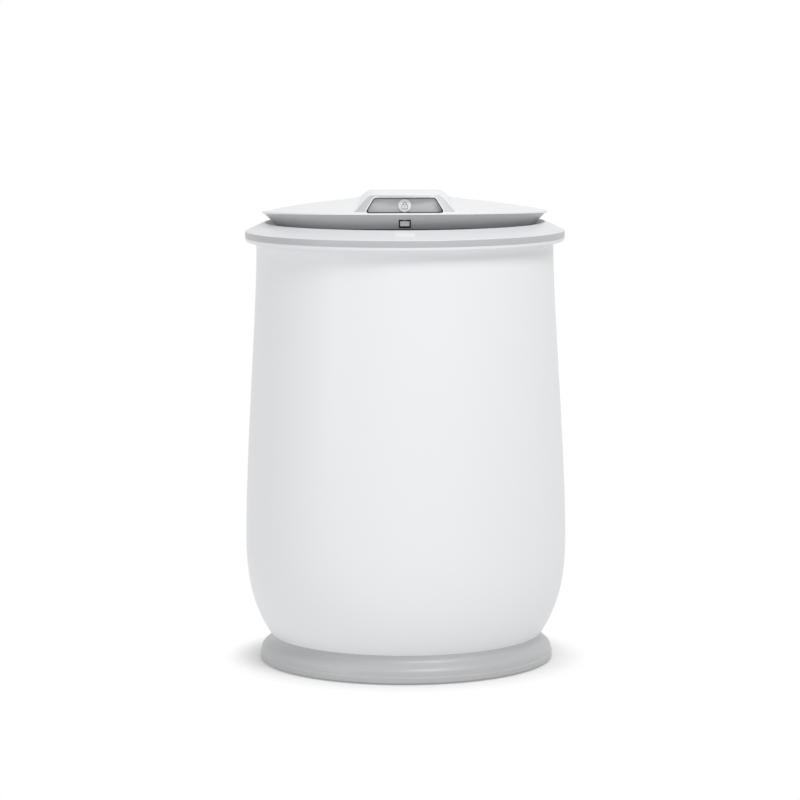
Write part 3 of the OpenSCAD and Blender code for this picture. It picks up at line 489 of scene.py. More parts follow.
# %% From a bmesh to a finished piece
def finish_mesh(name, work, finish, body, sharp=35, replaces=()):
    """Turns a bmesh in millimetres into a smooth piece, which rides on a body where one is named."""
    bmesh.ops.remove_doubles(work, verts=work.verts, dist=1e-4)
    bmesh.ops.recalc_face_normals(work, faces=work.faces)
    bmesh.ops.scale(work, vec=(MM, MM, MM), verts=work.verts)
    data = bpy.data.meshes.new(name)
    work.to_mesh(data)
    work.free()
    data.shade_smooth()
    data.set_sharp_from_angle(angle=math.radians(sharp))
    piece = bpy.data.objects.new(name, data)
    bpy.context.scene.collection.objects.link(piece)
    piece.data.materials.append(FINISHES[finish])
    if body:
        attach(piece, body)
    if replaces:
        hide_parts(*replaces)
    print(name, len(data.polygons), "faces")
    return piece


print("finish_mesh is ready")

# %% [markdown]
# Holes are cut with the exact Boolean, and the result is stored in the piece at once. The cutter can then
# go, and no modifier stays live.

# %% Cutting holes
def applied(piece):
    """The mesh of a piece with its modifiers worked in."""
    graph = bpy.context.evaluated_depsgraph_get()
    made = bpy.data.meshes.new_from_object(piece.evaluated_get(graph))
    piece.modifiers.clear()
    return made


def cut(piece, cutters):
    """Subtracts closed bmeshes (in millimetres) from a piece."""
    for cutter in cutters:
        bmesh.ops.recalc_face_normals(cutter, faces=cutter.faces)
        bmesh.ops.scale(cutter, vec=(MM, MM, MM), verts=cutter.verts)
        data = bpy.data.meshes.new("cutter")
        cutter.to_mesh(data)
        cutter.free()
        tool = bpy.data.objects.new("cutter", data)
        bpy.context.scene.collection.objects.link(tool)
        hole = piece.modifiers.new("hole", "BOOLEAN")
        hole.operation = "DIFFERENCE"
        hole.solver = "EXACT"
        hole.object = tool
        piece.data = applied(piece)
        bpy.data.objects.remove(tool)
        bpy.data.meshes.remove(data)


def block(low, high):
    """A closed box between two corners."""
    work = bmesh.new()
    bmesh.ops.create_cube(work, size=1)
    bmesh.ops.scale(work, vec=[b - a for a, b in zip(low, high)], verts=work.verts)
    return shift(work, *[(a + b) / 2 for a, b in zip(low, high)])


def rod(radius, low, high, segments=48):
    """A closed cylinder along Z."""
    work = bmesh.new()
    bmesh.ops.create_cone(work, cap_ends=True, segments=segments, radius1=radius, radius2=radius,
                          depth=high - low)
    return shift(work, z=(low + high) / 2)


print("cutting helpers are ready")

# %% [markdown]
# ## Cabinet
#
# The cabinet is one blow-moulded or deep-drawn barrel: widest low down, drawn in towards the neck, and
# rolled out again at the top into the collar that carries the deck. Three curves make the outside, and
# the inside is the same line moved in by the wall. The bare numbers in a curve are the reach of its two
# handles, which were fitted to the photographed outline.

# %% Driving sizes, in millimetres
BELLY_R, BELLY_Z = 171.5, 133
NECK_R, RIM_R, RIM_Z = 158, 169.6, 454.6
SEAM_R, SEAM_Z, BASE_R, BASE_GAP = 145.8, 28.8, 157.2, 2
WALL, FLANGE_W, FLANGE_T = 2.6, 12.4, 3
COLLAR_Z = RIM_Z - 11.6
CREST_R, CREST_Z, DECK_R, MOUTH_R = 149, RIM_Z + 15.4, 170, 104
SHOULDER_R, SHOULDER_Z = DECK_R - 2.2, RIM_Z + 6.6
BRIM_R, BRIM_Z = 151.7, CREST_Z + 2.3
LID_ANGLE = math.radians(2.449)
HINGE = Vector((0, BRIM_R + 3.3, BRIM_Z))
print("brim", BRIM_Z, "mm up, hinge", tuple(round(v, 1) for v in HINGE))

# %% The barrel's wall and collar
def moved_in(line, distance):
    """The same line moved towards the axis."""
    moved = []
    for i, (x, y) in enumerate(line):
        ahead = Vector(line[min(i + 1, len(line) - 1)]) - Vector(line[max(i - 1, 0)])
        ahead.normalize()
        moved.append((x - ahead.y * distance, y + ahead.x * distance))
    return moved


lower_wall = bezier((SEAM_R, SEAM_Z), (BELLY_R - 5.5, SEAM_Z + 31.2), (BELLY_R, BELLY_Z - 43),
                    (BELLY_R, BELLY_Z), 26)
upper_wall = bezier((BELLY_R, BELLY_Z), (BELLY_R - 0.3, BELLY_Z + 92), (NECK_R + 0.3, COLLAR_Z - 68),
                    (NECK_R, COLLAR_Z), 30)
wall = lower_wall + upper_wall[1:]
collar = bezier((NECK_R, COLLAR_Z), (NECK_R, RIM_Z - 6.6), (RIM_R - 6, RIM_Z - 7.1),
                (RIM_R - 0.9, RIM_Z - 4.8), 12)
lip = [(RIM_R - 0.3, RIM_Z - 4.3), (RIM_R, RIM_Z - 3.4), (RIM_R, RIM_Z - 0.4), (RIM_R - 0.4, RIM_Z)]
print("outside:", len(wall) + len(collar) + len(lip), "points")

# %% The barrel
flange_top, flange_in = SEAM_Z + FLANGE_T, SEAM_R - FLANGE_W
sleeve_r, sleeve_end = NECK_R - WALL - 1.1, COLLAR_Z - 8
inner = [point for point in reversed(moved_in(wall, WALL)) if point[1] > flange_top]
cabinet_outline = (
    wall + collar[1:] + lip
    + [(sleeve_r, RIM_Z), (sleeve_r, sleeve_end), (NECK_R - WALL, sleeve_end)] + inner[1:]
    + [(SEAM_R - WALL, flange_top), (flange_in, flange_top), (flange_in, SEAM_Z)])
cabinet = finish_mesh("cabinet_barrel", turn(cabinet_outline, 224), "white_gloss", "root",
                      replaces=["cabinet", "cabinet_rim"])

# %% Holes for the drain spout and the cord gland
OUTLET_Z, OUTLET_TILT, GLAND_ANGLE = 46, math.radians(30), math.radians(24)
SPOUT_HOLE_R, GLAND_HOLE_R, BORE_HALF = 8.1, 6.85, 20
outlet_y = next(a[0] + (b[0] - a[0]) * (OUTLET_Z - a[1]) / (b[1] - a[1])
                for a, b in zip(wall, wall[1:]) if a[1] <= OUTLET_Z < b[1])


def outlet_cutter(angle, radius):
    hole = rotate(rod(radius, -BORE_HALF, BORE_HALF), -math.pi / 2 - OUTLET_TILT, "X")
    return rotate(shift(hole, y=outlet_y, z=OUTLET_Z), -angle, "Z")


cut(cabinet, [outlet_cutter(0, SPOUT_HOLE_R), outlet_cutter(GLAND_ANGLE, GLAND_HOLE_R)])
print("outlets at", round(outlet_y, 1), "mm")

# %% [markdown]
# ## Base ring
#
# A grey moulding with a hollow flare. Under the flare runs a narrow step, which shows as a thin bright
# line, and below it the upright foot band. Inside, a flat shelf lies on the steel base plate, which is
# screwed up against it.

# %% The base ring
STEP_Z, BASE_WALL = BASE_GAP + 5.6, 3.4
SHELF_LOW, SHELF_HIGH, SHELF_IN, PLATE_SEAT_R, FLARE_TOP = 14.5, 17.5, SEAM_R - 17.8, SEAM_R + 4, SEAM_Z - 3.4
flare = bezier((BASE_R - 1.4, STEP_Z + 5), (BASE_R - 2.7, STEP_Z + 10.5), (SEAM_R + 0.3, STEP_Z + 12.6),
               (SEAM_R, FLARE_TOP), 16)
base_outline = rounded(
    [(BASE_R - 0.1, BASE_GAP, 0.6), (BASE_R, STEP_Z, 0.9), (BASE_R - 1.1, STEP_Z + 0.9, 0.5)]
    + [(r, z, 0) for r, z in flare]
    + [(SEAM_R, SEAM_Z, 0.4), (flange_in, SEAM_Z, 0), (flange_in, SEAM_Z - FLANGE_T, 0),
       (SEAM_R - BASE_WALL, SEAM_Z - FLANGE_T, 0), (SEAM_R - BASE_WALL, SHELF_HIGH, 0),
       (SHELF_IN, SHELF_HIGH, 0), (SHELF_IN, SHELF_LOW, 0), (PLATE_SEAT_R, SHELF_LOW, 0),
       (PLATE_SEAT_R, 11, 0), (BASE_R - BASE_WALL, 7, 0), (BASE_R - BASE_WALL, BASE_GAP, 0.4)])
finish_mesh("base_ring_turned", turn(base_outline), "satin_grey", "root", replaces=["base_ring"])

# %% [markdown]
# ## Deck
#
# The deck slopes up from its upright band to a crest, then runs down as a funnel into the drum. The latch
# needs a slot in the crest, and the blank window sits flush in the slope. Band and slope are one moulding;
# the band's faces get a darker copy of its finish, painted shade for the upright band.

# %% The deck's outline
SLOPE = (CREST_Z - SHOULDER_Z) / (SHOULDER_R - CREST_R)
DECK_T, BAND_LAP = 3, 1.2
RIB_IN, RIB_OUT, RIB_Z, SEAT_R, LAP_R = 157, 161.4, RIM_Z + 4, 163.6, RIM_R + 0.04
slope_drop = DECK_T * math.hypot(1, SLOPE)
funnel_out = DECK_T * math.sqrt(2)
funnel_z = CREST_Z - CREST_R + MOUTH_R
under_z = (SHOULDER_Z + (SHOULDER_R - CREST_R + CREST_Z - funnel_out) * SLOPE - slope_drop) / (1 + SLOPE)
under_r = CREST_R - CREST_Z + under_z + funnel_out
lip_z = CREST_Z - (CREST_R - MOUTH_R) - DECK_T
deck_outline = rounded(
    [(DECK_R, RIM_Z - BAND_LAP, 0.15), (DECK_R, SHOULDER_Z - 0.7, 1.6), (SHOULDER_R, SHOULDER_Z, 1.2),
     (CREST_R, CREST_Z, 1.8), (MOUTH_R, funnel_z, 3), (MOUTH_R, lip_z, 1.2), (MOUTH_R + DECK_T, lip_z, 1.2),
     (MOUTH_R + DECK_T, funnel_z + DECK_T - funnel_out, 0), (under_r, under_z, 0),
     (RIB_IN, SHOULDER_Z + (SHOULDER_R - RIB_IN) * SLOPE - slope_drop, 0), (RIB_IN, RIB_Z, 0),
     (RIB_OUT, RIB_Z, 0), (RIB_OUT, RIB_Z + 1, 0), (SEAT_R, RIB_Z + 1, 0), (SEAT_R, RIM_Z, 0),
     (LAP_R, RIM_Z, 0), (LAP_R, RIM_Z - BAND_LAP, 0)])
deck = finish_mesh("deck_turned", turn(deck_outline, 224), "deck_grey", "root", replaces=["deck"])

# %% The deck's slot, window seat and band
SLOT_HALF, WINDOW_HALF, BAND_EDGE = 6.2, 10.4, 1.2
latch_slot = block((-SLOT_HALF, -CREST_R - 1.5, BRIM_Z - 13), (SLOT_HALF, -MOUTH_R - 20, BRIM_Z - 5.9))
window_seat = block((-WINDOW_HALF, -CREST_R - 13, SHOULDER_Z - 2.2), (WINDOW_HALF, -CREST_R - 6, BRIM_Z))
cut(deck, [latch_slot, window_seat])
# The band's faces get the darker copy of the deck's grey: painted shade, since the band is part of the same
# moulding.
deck.data.materials.append(FINISHES["band_grey_painted_shade"])
band_top, band_in = (SHOULDER_Z - BAND_EDGE) * MM, (DECK_R - BAND_EDGE) * MM
for face in deck.data.polygons:
    if face.center.z < band_top and math.hypot(face.center.x, face.center.y) > band_in:
        face.material_index = 1
print("deck crest", CREST_Z, "mm up")

# %% [markdown]
# ## Lid
#
# The lid is a shallow dome with a handle hood that grows out of its front. The two are one moulding, so
# the skin starts as a spun disc and its rings are then lifted: each point takes the height of the dome or
# of the hood, whichever is higher, with a soft step between them. That gives the flowing fillets of a
# moulding, which a plain union of two solids would not have.
#
# Two curves describe the hood: `flank` gives its height across, from the flat top down to its foot, and
# `hood_back` its height along, from the crest down to the dome behind. The front face leans back by 22
# degrees, and the top rises a little towards the back. Where the hood runs out, its fillet widens, so that
# its tail melts into the dome.

# %% Curves of the hood
EDGE_T, DOME_RISE, HOOD_H, HOOD_BASE_W, HOOD_TOP_W = 2, 17.2, 20.7, 57, 32
HOOD_LEAN, HOOD_RISE, HOOD_FRONT = math.tan(math.radians(22)), math.tan(math.radians(3.5)), 7
BACK_Y, BACK_H, BACK_FALL, HOOD_END_Y = -75, 25.2, 0.06, 30
flank = sorted(bezier((HOOD_BASE_W + 1, 0), (47, 2), (43, HOOD_H - 1.7), (HOOD_TOP_W, HOOD_H), 40))
hood_back = bezier((BACK_Y, BACK_H), (-45, 27), (-20, 19), (24, 11), 40)


def height_on(curve, at):
    """The height at a place, on a curve of (place, height) points in rising order of place."""
    if at <= curve[0][0]:
        return curve[0][1]
    for (a, h), (b, k) in zip(curve, curve[1:]):
        if a <= at <= b:
            return h + (k - h) * (at - a) / max(b - a, 1e-9)
    return curve[-1][1]


print("hood", 2 * (HOOD_BASE_W + 1), "mm wide at its foot and", 2 * HOOD_TOP_W, "at its top")

# %% Heights of the dome and the hood
FACE_R, BURIED = BRIM_R - 0.9, -3
SIDE_SOFT, FRONT_SOFT, DOME_SOFT, TAIL_SOFT, TAIL_Y, TAIL_REACH = 1.0, 0.7, 1.0, 3.2, -20, 50


def soft_high(a, b, blend):
    return (a + b + math.hypot(a - b, blend)) / 2


def soft_low(a, b, blend):
    return (a + b - math.hypot(a - b, blend)) / 2


def skin_height(x, y):
    """Height of the lid's skin above the brim, lid closed."""
    radius = math.hypot(x, y)
    dome = EDGE_T + (DOME_RISE - EDGE_T) * (1 - (radius / BRIM_R) ** 2)
    if y > HOOD_END_Y or abs(x) > HOOD_BASE_W + 6:
        return dome
    side = height_on(flank, abs(x))
    side += (y + BRIM_R - HOOD_FRONT) * HOOD_RISE if side > 0.01 else BURIED
    back = height_on(hood_back, y) if y > BACK_Y else BACK_H - (y - BACK_Y) * BACK_FALL
    front = (FACE_R - radius) / HOOD_LEAN
    hood = soft_low(soft_low(side, back, SIDE_SOFT), front, FRONT_SOFT)
    swell = max(0, 1 - ((y - TAIL_Y) / TAIL_REACH) ** 2)
    return soft_high(dome, hood, DOME_SOFT + TAIL_SOFT * swell)


print("skin at the hood's crest:", round(skin_height(0, -60), 1), "mm above the brim")

# %% The spun disc
COARSE_STEP, FINE_STEP, FINE_RINGS, EDGE_ROUND = 2, 0.7, 19, 0.7
radii = [0.0, *range(6, 138, COARSE_STEP), *(BRIM_R - 14 + FINE_STEP * i for i in range(FINE_RINGS)),
         BRIM_R - 0.8, BRIM_R - 0.15, BRIM_R]
skin_work = bmesh.new()
spoke = [skin_work.verts.new((0, -radius, 0)) for radius in radii]
for pair in zip(spoke, spoke[1:]):
    skin_work.edges.new(pair)
spin(skin_work, 384)
bmesh.ops.remove_doubles(skin_work, verts=skin_work.verts, dist=1e-4)
print("disc:", len(skin_work.verts), "points in", len(radii), "rings")

# %% The lid's skin
SKIN_T = 1.9


def pose_lid(work):
    """Turns a piece drawn with the lid closed to the angle at which the lid rests."""
    return rotate(work, -LID_ANGLE, "X", HINGE)


for vert in skin_work.verts:
    radius = math.hypot(vert.co.x, vert.co.y)
    rise = skin_height(vert.co.x, vert.co.y)
    if radius > BRIM_R - 0.1:
        rise = EDGE_T - EDGE_ROUND
    elif radius > BRIM_R - 0.3:
        rise = EDGE_T - 0.15
    vert.co.z = BRIM_Z + max(rise, EDGE_T - EDGE_ROUND)
rim = bmesh.ops.extrude_edge_only(skin_work, edges=[edge for edge in skin_work.edges if edge.is_boundary])
for vert in new_verts(rim):
    vert.co.z = BRIM_Z
lid_skin = finish_mesh("lid_skin", pose_lid(skin_work), "white_gloss", "lid", 60, replaces=["lid_shell"])
skin_wall = lid_skin.modifiers.new("wall", "SOLIDIFY")
skin_wall.thickness = SKIN_T * MM
skin_wall.offset = -1
skin_wall.use_even_offset = True
lid_skin.data = applied(lid_skin)
print("lid skin:", len(lid_skin.data.polygons), "faces")

# %% [markdown]
# ## Finger recess
#
# Four fingers reach through an opening in the hood's front. The opening has a rolled white lip that
# catches the light along its sill, and behind it sits the grey tray with the rocking paddle.

# %% The opening
RECESS_W, RECESS_LOW, RECESS_HIGH, RECESS_SLOPE = 41.2, 1.5, HOOD_H - 3.1, 0.607
SILL_ROUND, HEAD_ROUND = 2.4, 5


def recess_outline(grow, steps=6):
    """The recess as (x, height above the brim) points, grown by a distance all round."""
    side = grow * math.hypot(1, RECESS_SLOPE)
    low = RECESS_W + side + grow * RECESS_SLOPE
    high = RECESS_W - RECESS_SLOPE * (RECESS_HIGH - RECESS_LOW) + side - grow * RECESS_SLOPE
    sill, sill_round = RECESS_LOW - grow, SILL_ROUND + grow / 2
    head, head_round = RECESS_HIGH + grow, HEAD_ROUND + grow / 2
    return rounded([(low, sill, sill_round), (high, head, head_round),
                    (-high, head, head_round), (-low, sill, sill_round)], steps)


def prism(points, along):
    """A closed bar: a flat outline, extruded along a vector."""
    work = bmesh.new()
    face = work.faces.new([work.verts.new(point) for point in points])
    made = bmesh.ops.extrude_face_region(work, geom=[face])
    bmesh.ops.translate(work, vec=along, verts=new_verts(made))
    return work


def recess_bar(grow, y_front, y_back):
    """A closed bar along Y with the recess's outline."""
    return prism([(x, y_front, BRIM_Z + z) for x, z in recess_outline(grow)], (0, y_back - y_front, 0))


cut(lid_skin, [pose_lid(recess_bar(0, -BRIM_R - 10, -BRIM_R + 14))])
lid_skin.data.shade_smooth()
lid_skin.data.set_sharp_from_angle(angle=math.radians(38))
print("recess", 2 * RECESS_W, "mm wide at the sill")

# %% The rolled lip round the opening
LIP_R, LIP_SIDES = 0.7, 10


def face_point(x, z, out=0.0):
    """A point on the hood's leaning front face, moved out of it by a distance."""
    radius = FACE_R - z * HOOD_LEAN + out
    return Vector((x, -math.sqrt(max(radius * radius - x * x, 0)), BRIM_Z + z))


lip_work = bmesh.new()
path = [face_point(x, z, 0.1) for x, z in recess_outline(0.35, 8)]
lip_angles = [math.tau * k / LIP_SIDES for k in range(LIP_SIDES)]
lip_rings = []
for i, point in enumerate(path):
    along = (path[(i + 1) % len(path)] - path[i - 1]).normalized()
    out = Vector((point.x, point.y, 0)).normalized()
    across = along.cross(out).normalized()
    lift = across.cross(along)
    lip_rings.append(edge_ring(lip_work, [point + LIP_R * (math.cos(a) * across + math.sin(a) * lift)
                                          for a in lip_angles]))
bridge(lip_work, lip_rings + lip_rings[:1])
finish_mesh("recess_lip", pose_lid(lip_work), "white_gloss", "lid", 60)

# %% [markdown]
# The hood's front is a pale grey bezel that ends in a crisp line against the white top. It is built as
# rings of points between the hood's own outline and the recess, found at the same angles round a middle
# point and laid on the leaning face, so the bezel follows the face however wide it is.

# %% Two outlines seen from one middle point
BEZEL_T, BEZEL_EDGE, BEZEL_SUNK, BEZEL_STEPS = 0.35, 0.8, -0.6, 480
BEZEL_MIDDLE = Vector((0, 9))


def reach(outline, angle):
    """How far an outline lies from the bezel's middle in one direction."""
    ray = Vector((math.cos(angle), math.sin(angle)))
    far = 0
    for a, b in zip(outline, outline[1:] + outline[:1]):
        corner, side = Vector(a) - BEZEL_MIDDLE, Vector(b) - Vector(a)
        slant = ray.cross(side)
        if abs(slant) > 1e-9 and -1e-6 <= corner.cross(ray) / slant <= 1 + 1e-6:
            far = max(far, corner.cross(side) / slant)
    return far


flank_side = [(x - BEZEL_EDGE / 2, min(z, HOOD_H - BEZEL_EDGE)) for x, z in reversed(flank) if z > 1.4]
hood_outline = flank_side + [(-x, z) for x, z in reversed(flank_side)]
bezel_angles = [math.tau * step / BEZEL_STEPS for step in range(BEZEL_STEPS)]
recess_edge = recess_outline(0.5)
bezel_in = [reach(recess_edge, angle) for angle in bezel_angles]
bezel_out = [reach(hood_outline, angle) for angle in bezel_angles]
print("bezel from", round(min(bezel_in), 1), "to", round(max(bezel_out), 1), "mm out of its middle")

# %% The bezel of the hood
def bezel_ring(work, share, out):
    """A ring on the leaning face, a share of the way from the recess to the hood's outline."""
    points = []
    for angle, near, far in zip(bezel_angles, bezel_in, bezel_out):
        x, z = BEZEL_MIDDLE + (near + (far - near) * share) * Vector((math.cos(angle), math.sin(angle)))
        points.append(face_point(x, z, out))
    return edge_ring(work, points)


bezel_work = bmesh.new()
bezel_rings = [bezel_ring(bezel_work, share, out) for share, out in (
    (0, BEZEL_SUNK), (0, BEZEL_T), (0.25, BEZEL_T), (0.5, BEZEL_T), (0.75, BEZEL_T), (0.97, BEZEL_T),
    (0.99, BEZEL_T * 0.7), (1, 0), (1, BEZEL_SUNK))]
bridge(bezel_work, bezel_rings + bezel_rings[:1])
finish_mesh("hood_bezel", pose_lid(bezel_work), "bezel_grey", "lid", 50)

# %% The tray behind the opening
TRAY_T, TRAY_GAP, TRAY_SUNK, TRAY_BACK = 1.3, 0.05, -1.2, -BRIM_R + 28.7


def tray_ring(work, grow, depth=None):
    """The recess's outline as a ring: at a depth, or just under the leaning face where none is given."""
    return edge_ring(work, [(x, face_point(x, z, TRAY_SUNK).y if depth is None else depth, BRIM_Z + z)
                            for x, z in recess_outline(grow, 8)])


tray_work = bmesh.new()
tray_rings = [tray_ring(tray_work, TRAY_GAP, TRAY_BACK - TRAY_T), tray_ring(tray_work, TRAY_GAP),
              tray_ring(tray_work, TRAY_T - TRAY_GAP), tray_ring(tray_work, TRAY_T - TRAY_GAP, TRAY_BACK)]
bridge(tray_work, tray_rings)
for ring in (tray_rings[0], tray_rings[-1]):
    bmesh.ops.edgeloop_fill(tray_work, edges=ring)
# The tray's dark grey is partly its own colour and partly painted shade for the gaps round the paddle.
tray = finish_mesh("recess_tray", pose_lid(tray_work), "tray_grey_and_gap_shade", "lid", 40, replaces=["handle_tray"])
tail_slot = block((-3, -BRIM_R + 11.2, BRIM_Z - 1), (3, -BRIM_R + 20.7, BRIM_Z + 4))
cut(tray, [pose_lid(tail_slot)])

# %% [markdown]
# ## Skirt
#
# Under the brim the lid turns in at forty-five degrees, so that it centres itself in the funnel. The
# skirt and the lid's floor are one grey moulding with a window for the latch bolt.

# %% The skirt and its window
LINER_T, FLOOR_DROP, SKIRT_R, BOLT_WINDOW_HALF = 2.2, 20, BRIM_R - 2.2, 6.15
floor_z = BRIM_Z - FLOOR_DROP
liner_top = floor_z + LINER_T
skirt_in = SKIRT_R - LINER_T * math.sqrt(2)
skirt_outline = rounded(
    [(0, floor_z, 0), (SKIRT_R - FLOOR_DROP, floor_z, 2.5), (SKIRT_R, BRIM_Z, 0.3), (skirt_in, BRIM_Z, 0),
     (skirt_in - (BRIM_Z - liner_top), liner_top, 0.8), (0, liner_top, 0)])
skirt = finish_mesh("lid_skirt", pose_lid(turn(skirt_outline, 224)), "skirt_grey", "lid",
                    replaces=["lid_liner"])
bolt_window = block((-BOLT_WINDOW_HALF, -SKIRT_R - 5, BRIM_Z - 13.6),
                    (BOLT_WINDOW_HALF, -SKIRT_R + 24, BRIM_Z - 5))
cut(skirt, [pose_lid(bolt_window)])
print("skirt goes", FLOOR_DROP, "mm down")

# %% [markdown]
# ## Paddle and badge
#
# The rocking paddle fills the back of the recess. On it sits the round white badge with a padlock: a
# rounded body and a shackle, raised by a fraction of a millimetre like a pad-printed or moulded sign.

# %% The paddle
PADDLE_Y, PADDLE_FRONT, PADDLE_BACK = -BRIM_R + 17.7, 3, 0.5
PIVOT_R, PIVOT_Z, PIVOT_END = 2.4, BRIM_Z + 8, RECESS_W - 8
paddle_work = recess_bar(-0.8, PADDLE_Y - PADDLE_FRONT, PADDLE_Y - PADDLE_BACK)
front_edges = [edge for edge in paddle_work.edges
               if all(v.co.y < PADDLE_Y - PADDLE_FRONT + 0.1 for v in edge.verts)]
soften(paddle_work, front_edges, 0.7, 4, clamp=True)
barrel = shift(rotate(rod(PIVOT_R, -PIVOT_END, PIVOT_END, 24), math.pi / 2, "Y"), y=PADDLE_Y, z=PIVOT_Z)
tail = block((-2, PADDLE_Y - 1, BRIM_Z - 10.8), (2, PADDLE_Y + 1, PIVOT_Z))
soften(tail, list(tail.edges), 0.3, 2)
finish_mesh("paddle_plate", pose_lid(paddle_work), "paddle_grey", "paddle", 40, replaces=["lock_paddle"])
finish_mesh("paddle_barrel", pose_lid(barrel), "paddle_grey", "paddle", 40)
finish_mesh("paddle_tail", pose_lid(tail), "paddle_grey", "paddle", 40)

# %% The badge
BADGE_R, BADGE_T, BADGE_Z, BADGE_FRONT = 6.7, 1.4, 9.4, PADDLE_Y - 4.5


def on_badge(work):
    """Takes a piece drawn flat on XY, top up, to the badge's front, facing -Y."""
    return pose_lid(shift(rotate(work, math.pi / 2, "X"), y=BADGE_FRONT, z=BRIM_Z + BADGE_Z))


badge_work = rod(BADGE_R, -BADGE_T, 0, 96)
soften(badge_work, [edge for edge in badge_work.edges if all(v.co.z > -0.1 for v in edge.verts)], 0.35, 4)
finish_mesh("badge_disc", on_badge(badge_work), "window_white", "paddle", 40)

# %% The padlock's body
SIGN_T, PANEL_T, KEYHOLE_T = 0.16, 0.24, 0.32


def plate(width, height, radius, thick):
    """A flat plate with rounded corners, standing on XY."""
    right, top = width / 2, height / 2
    outline = rounded([(right, -top, radius), (right, top, radius), (-right, top, radius),
                       (-right, -top, radius)])
    return prism([(x, y, 0) for x, y in outline], (0, 0, thick))


lock_body = shift(plate(6.4, 4.8, 0.8, SIGN_T), y=-1.4)
finish_mesh("padlock_body", on_badge(lock_body), "sign_grey", "paddle", 40)
lock_panel = shift(plate(5.0, 3.4, 0.4, PANEL_T), y=-1.4)
finish_mesh("padlock_panel", on_badge(lock_panel), "window_white", "paddle", 40)

# %% The padlock's shackle
SHACKLE_IN, SHACKLE_OUT, SHACKLE_LEG, SHACKLE_Y = 1.2, 1.95, 1, 1.9
shackle = bmesh.new()
edge_ring(shackle, [(SHACKLE_IN, 0, 0), (SHACKLE_OUT, 0, 0), (SHACKLE_OUT, 0, SIGN_T),
                    (SHACKLE_IN, 0, SIGN_T)])
spin(shackle, 20, math.pi)
for end_side in (1, -1):
    ends = [v for v in shackle.verts if v.co.x * end_side > SHACKLE_IN - 0.1 and abs(v.co.y) < 1e-4]
    border = [edge for edge in shackle.edges if all(v in ends for v in edge.verts)]
    leg = bmesh.ops.extrude_edge_only(shackle, edges=border)
    bmesh.ops.translate(shackle, vec=(0, -SHACKLE_LEG, 0), verts=new_verts(leg))
bmesh.ops.holes_fill(shackle, edges=[edge for edge in shackle.edges if edge.is_boundary], sides=4)
finish_mesh("padlock_shackle", on_badge(shift(shackle, y=SHACKLE_Y)), "sign_grey", "paddle", 40)

# %% The keyhole
keyhole = shift(rod(0.6, 0, KEYHOLE_T, 24), y=-1.0)
finish_mesh("padlock_keyhole", on_badge(keyhole), "sign_grey", "paddle", 40)
slit = shift(plate(0.5, 1.5, 0.2, KEYHOLE_T), y=-1.8)
finish_mesh("padlock_slit", on_badge(slit), "sign_grey", "paddle", 40)

# %% [markdown]
# ## Latch bolt
#
# The bolt is a small moulded block. Its edges are bevelled, so the window in the skirt frames a bright
# face with a dark gap round it. The paddle's tail goes through a slot in it and pushes it out.

# %% The latch bolt
BOLT_HALF, BOLT_H, BOLT_TOP, BOLT_TIP, BOLT_BACK = 4.8, 5.3, BRIM_Z - 6.4, BRIM_R - 10.4, -BRIM_R + 43.7
TAIL_SLOT_HALF = 2.6
bolt_work = block((-BOLT_HALF, -BOLT_TIP, BOLT_TOP - BOLT_H), (BOLT_HALF, BOLT_BACK, BOLT_TOP))
soften(bolt_work, list(bolt_work.edges), 0.5, 3)
latch_bolt = finish_mesh("latch_bolt_soft", pose_lid(bolt_work), "paddle_grey", "bolt", 40,
                         replaces=["latch_bolt"])
bolt_slot = block((-TAIL_SLOT_HALF, PADDLE_Y - TAIL_SLOT_HALF, BOLT_TOP - BOLT_H - 1),
                  (TAIL_SLOT_HALF, PADDLE_Y + TAIL_SLOT_HALF, BOLT_TOP + 1))
cut(latch_bolt, [pose_lid(bolt_slot)])

# %% [markdown]
# ## Springs and bellows that give
#
# The motor hangs on three springs, and a rubber bellows seals its shaft in the tub's floor. One end of each
# stays with the base and the other moves with the motor, so each is a merged copy of the working piece,
# left on no body.

# %% The giving pieces
def giving_copy(node, name):
    work = bmesh.new()
    work.from_mesh(frame["nodes"][node].data)
    bmesh.ops.scale(work, vec=(1 / MM, 1 / MM, 1 / MM), verts=work.verts)
    piece = finish_mesh(name, work, slot_of[node], None, 40, replaces=[node])
    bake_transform(piece)


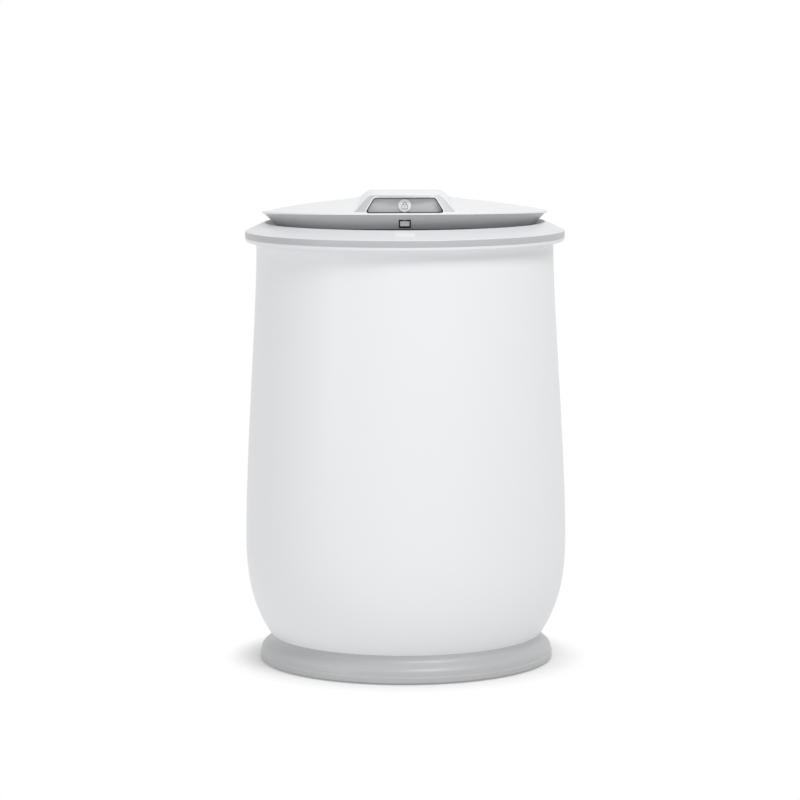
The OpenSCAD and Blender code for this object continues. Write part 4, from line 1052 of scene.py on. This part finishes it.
giving_copy("suspension_springs", "giving_springs")
giving_copy("shaft_bellows", "giving_bellows")

# %% [markdown]
# ## Floor
#
# The floor is one large sheet. To the camera it is pure white far out, so that it runs into the white
# background with no horizon, and it keeps its own shading only close to the base ring, where the soft
# contact shadow lies. A radial ramp on the floor's own coordinates mixes the two.

# %% Floor
FLOOR_HALF = 4.0
floor_mesh = bmesh.new()
bmesh.ops.create_grid(floor_mesh, x_segments=1, y_segments=1, size=FLOOR_HALF)
floor_data = bpy.data.meshes.new("floor")
floor_mesh.to_mesh(floor_data)
floor_mesh.free()
floor = bpy.data.objects.new("floor", floor_data)
bpy.context.scene.collection.objects.link(floor)
print("floor:", 2 * FLOOR_HALF, "m square")

# %% The floor's finish
SHADE_KEPT, SHADE_FROM, SHADE_TO = 0.75, 0.157, 0.20
floor_finish = bpy.data.materials.new("floor_white")
floor_finish.use_nodes = True
tree = floor_finish.node_tree
paper = tree.nodes["Principled BSDF"]
paper.inputs["Base Color"].default_value = (0.92, 0.92, 0.92, 1)
paper.inputs["Roughness"].default_value = 0.9
glow = tree.nodes.new("ShaderNodeEmission")
glow.inputs["Color"].default_value = (1, 1, 1, 1)
glow.inputs["Strength"].default_value = 1
distance = tree.nodes.new("ShaderNodeVectorMath")
distance.operation = "LENGTH"
tree.links.new(object_place(tree), distance.inputs[0])
ramp = tree.nodes.new("ShaderNodeMapRange")
ramp.interpolation_type = "SMOOTHSTEP"
for label, value in (("Value", distance.outputs["Value"]), ("From Min", SHADE_FROM), ("From Max", SHADE_TO),
                     ("To Min", 1 - SHADE_KEPT), ("To Max", 1)):
    fill(tree, ramp.inputs[label], value)
white_share = math_node(tree, "MULTIPLY", viewing_rays(tree), ramp.outputs["Result"])
floor_surface = mix_shaders(tree, white_share, paper.outputs[0], glow.outputs[0])
tree.links.new(floor_surface, tree.nodes["Material Output"].inputs["Surface"])
floor_data.materials.append(floor_finish)
print("shading kept near the base:", SHADE_KEPT, "and gone at", SHADE_TO, "m from the middle")
